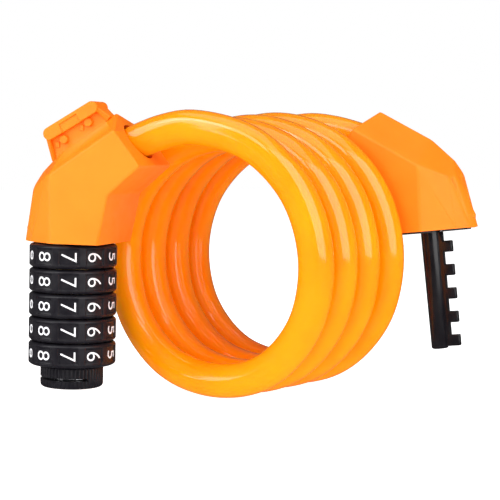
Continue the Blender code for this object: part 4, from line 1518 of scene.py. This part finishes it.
# ---------------------------------------------------------------- plug
@dataclass
class PlugKey:
    """The key under the plug: a round pin with a row of five square teeth on a web."""

    radius_top: float = 3.5
    radius_end: float = 3.1
    end: float = -43.0
    groove_radius: float = 3.0
    groove_heights: FlatPoint = (6.0, 6.9)
    head_radius: float = 6.0
    head_heights: FlatPoint = (8.8, 11.6)
    teeth: int = 5
    pitch: float = 8.5
    first: float = -6.2
    tooth_height: float = 4.1
    tooth_reach: float = 8.0
    tooth_root: float = 1.2
    web_reach: float = 4.6
    web_root: float = 1.5
    web_top: float = 0.6
    width: float = 2.2
    tooth_edge: float = 0.4
    web_edge: float = 0.15

    def pin(self) -> bpy.types.Object:
        """Turn the pin with its head, its clip groove and its tapered shank.

        Returns:
            The pin in the head's frame.
        """
        top, low, groove, head = self.radius_top, self.radius_end, self.groove_radius, self.head_radius
        groove_low, groove_high = self.groove_heights
        head_low, head_high = self.head_heights
        profile = [(0.0, self.end), (low - 0.7, self.end), (low - 0.2, self.end + 0.2), (low, self.end + 0.7)]
        profile += [(top, -1.0), (top, groove_low), (groove, groove_low), (groove, groove_high)]
        profile += [(top, groove_high), (top, head_low), (head - 0.2, head_low), (head, head_low + 0.2)]
        profile += [(head, head_high - 0.2), (head - 0.2, head_high), (0.0, head_high)]
        return turned("key_pin", profile, 64)

    def tooth(self) -> bpy.types.Object:
        """Make one square tooth with soft corners.

        Returns:
            The tooth, its middle at z = 0.
        """
        half = self.tooth_height / 2
        root = -self.web_reach + self.tooth_root
        outline = [(-self.tooth_reach, -half), (root, -half), (root, half), (-self.tooth_reach, half)]
        tooth = upright_plate("key_tooth", outline, self.width / 2)
        return rounded(tooth, self.tooth_edge, segments=3, over=40.0)

    def web(self) -> bpy.types.Object:
        """Make the strip that the teeth stand on, from the plug's base to the end of the last tooth.

        Returns:
            The strip in the head's frame.
        """
        low = self.first - (self.teeth - 1) * self.pitch - self.tooth_height / 2
        reach, root, top = -self.web_reach, -self.web_root, -self.web_top
        outline = [(reach, low), (root, low), (root, top), (reach, top)]
        web = upright_plate("key_web", outline, self.width / 2)
        return rounded(web, self.web_edge, segments=2, over=40.0)

    def build(self) -> None:
        """Join the pin, the web and the row of teeth, and let them ride on the plug head."""
        black = KEY_BLACK.material()
        tooth = self.tooth()
        tree = Repeater("teeth_down_web")
        count = tree.setting("Count", Kind.COUNT, self.teeth)
        first = tree.setting("First height", Kind.NUMBER, self.first * MM)
        pitch = tree.setting("Pitch", Kind.NUMBER, -self.pitch * MM)
        source = tree.setting("Tooth", Kind.OBJECT, tooth)
        shape = tree.step("GeometryNodeObjectInfo", {"Object": source})
        row = tree.along(count, first, pitch, shape.outputs["Geometry"])
        teeth = tree.run("key_teeth", row, black)
        bpy.data.objects.remove(tooth, do_unlink=True)
        key = combined(self.pin(), self.web(), Change.ADD)
        combined(key, teeth, Change.ADD)
        key.name = "plug_key_black"
        key.data.materials.clear()
        key.data.materials.append(black)
        PLUG_FRAME.set_down(key)
        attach(key, Body.PLUG.value)
        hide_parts("plug_key")
        LOG.info("plug key, %d faces", len(key.data.polygons))


# ---------------------------------------------------------------- pieces kept from the frame
def dress_kept_nodes() -> None:
    """Give every node that shows as it is a finish of its own kind."""
    finishes: dict[str, MouldedPlastic | Metal] = {
        "core_barrel": ZINC, "lock_ferrule": ZINC, "plug_ferrule": ZINC,
        "lock_base": BASE_BLACK, "plug_base": BASE_BLACK,
    }
    made: dict[str, bpy.types.Material] = {}
    for name, node in frame["nodes"].items():
        if node.hide_render:
            continue
        finish = finishes.get(name, BRASS if name.startswith("hub_ring") else STEEL)
        if finish.name not in made:
            made[finish.name] = finish.material()
        node.data.materials.clear()
        node.data.materials.append(made[finish.name])


# ---------------------------------------------------------------- studio
@dataclass(frozen=True)
class SoftBox:
    """A soft light: where it stands as seen from the object, its size and its brightness."""

    name: str
    azimuth: float
    elevation: float
    distance: float
    size: FlatPoint
    radiance: float
    mirrored: bool = True

    def build(self, target: Vector) -> None:
        """Hang the light and turn it to the object.

        Args:
            target: the point that it faces.
        """
        lamp = bpy.data.lights.new(self.name, "AREA")
        lamp.shape = "RECTANGLE"
        lamp.size, lamp.size_y = self.size
        lamp.energy = self.radiance * math.pi * self.size[0] * self.size[1]
        holder = bpy.data.objects.new(self.name, lamp)
        bpy.context.scene.collection.objects.link(holder)
        holder.visible_glossy = self.mirrored
        holder.location = target + bearing(self.azimuth, self.elevation) * self.distance
        holder.rotation_euler = (target - holder.location).to_track_quat("-Z", "Y").to_euler()


def bearing(azimuth: float, elevation: float) -> Vector:
    """The direction from the object to a viewer.

    Args:
        azimuth: how far round they stand in degrees, from 0 at -Y to 90 at +X.
        elevation: how high they stand over the horizon, in degrees.

    Returns:
        The direction, one unit long.
    """
    a, e = math.radians(azimuth), math.radians(elevation)
    return Vector((math.sin(a) * math.cos(e), -math.cos(a) * math.cos(e), math.sin(e)))


@dataclass
class Studio:
    """A pale floor, a white room, soft lights and the camera."""

    azimuth: float = 35.2
    elevation: float = 3.5
    distance: float = 0.58
    target: Point = (-0.00446, 0.0027, 0.05034)
    lens: float = 116.5
    sensor: float = 36.0
    room: float = 0.10
    floor_radius: float = 3000.0
    floor_tone: float = 0.70
    floor_glow: float = 0.97
    boxes: list[SoftBox] = field(default_factory=lambda: [
        SoftBox("left_box", -30.0, 28.0, 1.3, (0.80, 1.40), 2.9),
        SoftBox("upper_box", -2.0, 50.0, 1.3, (0.90, 0.36), 2.9),
        SoftBox("right_box", 76.0, 28.0, 1.3, (1.30, 1.72), 2.5),
        SoftBox("top_box", 40.0, 86.0, 1.2, (1.0, 1.0), 1.0),
        SoftBox("fill_box", 12.0, 16.0, 1.3, (1.50, 0.80), 1.6, mirrored=False),
    ])

    def build(self) -> None:
        """Make the camera first, then the room and its lights."""
        target = Vector(self.target)
        lens = bpy.data.cameras.new("camera")
        lens.lens = self.lens
        lens.sensor_width = self.sensor
        lens.clip_start = 0.01
        camera = bpy.data.objects.new("camera", lens)
        bpy.context.scene.collection.objects.link(camera)
        camera.location = target + bearing(self.azimuth, self.elevation) * self.distance
        camera.rotation_euler = (target - camera.location).to_track_quat("-Z", "Y").to_euler()
        bpy.context.scene.camera = camera
        self.build_room()
        for box in self.boxes:
            box.build(target)
        bpy.context.scene.view_settings.view_transform = "Standard"

    def build_room(self) -> None:
        """The white surroundings and the floor."""
        world = bpy.data.worlds.new("white_room")
        world.use_nodes = True
        nodes, links = world.node_tree.nodes, world.node_tree.links
        background = nodes["Background"]
        background.inputs["Color"].default_value = (1, 1, 1, 1)
        seen = nodes.new("ShaderNodeLightPath").outputs["Is Camera Ray"]
        strength = nodes.new("ShaderNodeMapRange")
        strength.inputs["To Min"].default_value = self.room
        strength.inputs["To Max"].default_value = 1.0
        links.new(seen, strength.inputs["Value"])
        links.new(strength.outputs["Result"], background.inputs["Strength"])
        bpy.context.scene.world = world
        shape = bmesh.new()
        bmesh.ops.create_circle(shape, cap_ends=True, segments=64, radius=self.floor_radius)
        floor = from_bmesh("floor", shape)
        recipe = Recipe("pale_floor")
        tone = self.floor_tone
        recipe.fixed(Base_Color=(tone, tone, tone, 1.0), Roughness=0.95, Specular_IOR_Level=0.1)
        recipe.fixed(Emission_Color=(1, 1, 1, 1), Emission_Strength=self.floor_glow)
        floor.data.materials.append(recipe.material)
        floor.visible_glossy = False


def main() -> None:
    """Build the whole visible lock, piece by piece."""
    logging.basicConfig(level=logging.INFO, format="%(name)s: %(message)s")
    Studio().build()
    SprungCable().build()
    RailHousing("lock", LOCK_FRAME, Body.LOCK).build()
    Housing("plug", PLUG_FRAME, Body.PLUG).build()
    DialStack().build()
    ResetKnob().build()
    PlugKey().build()
    dress_kept_nodes()


if __name__ == "__main__":
    main()
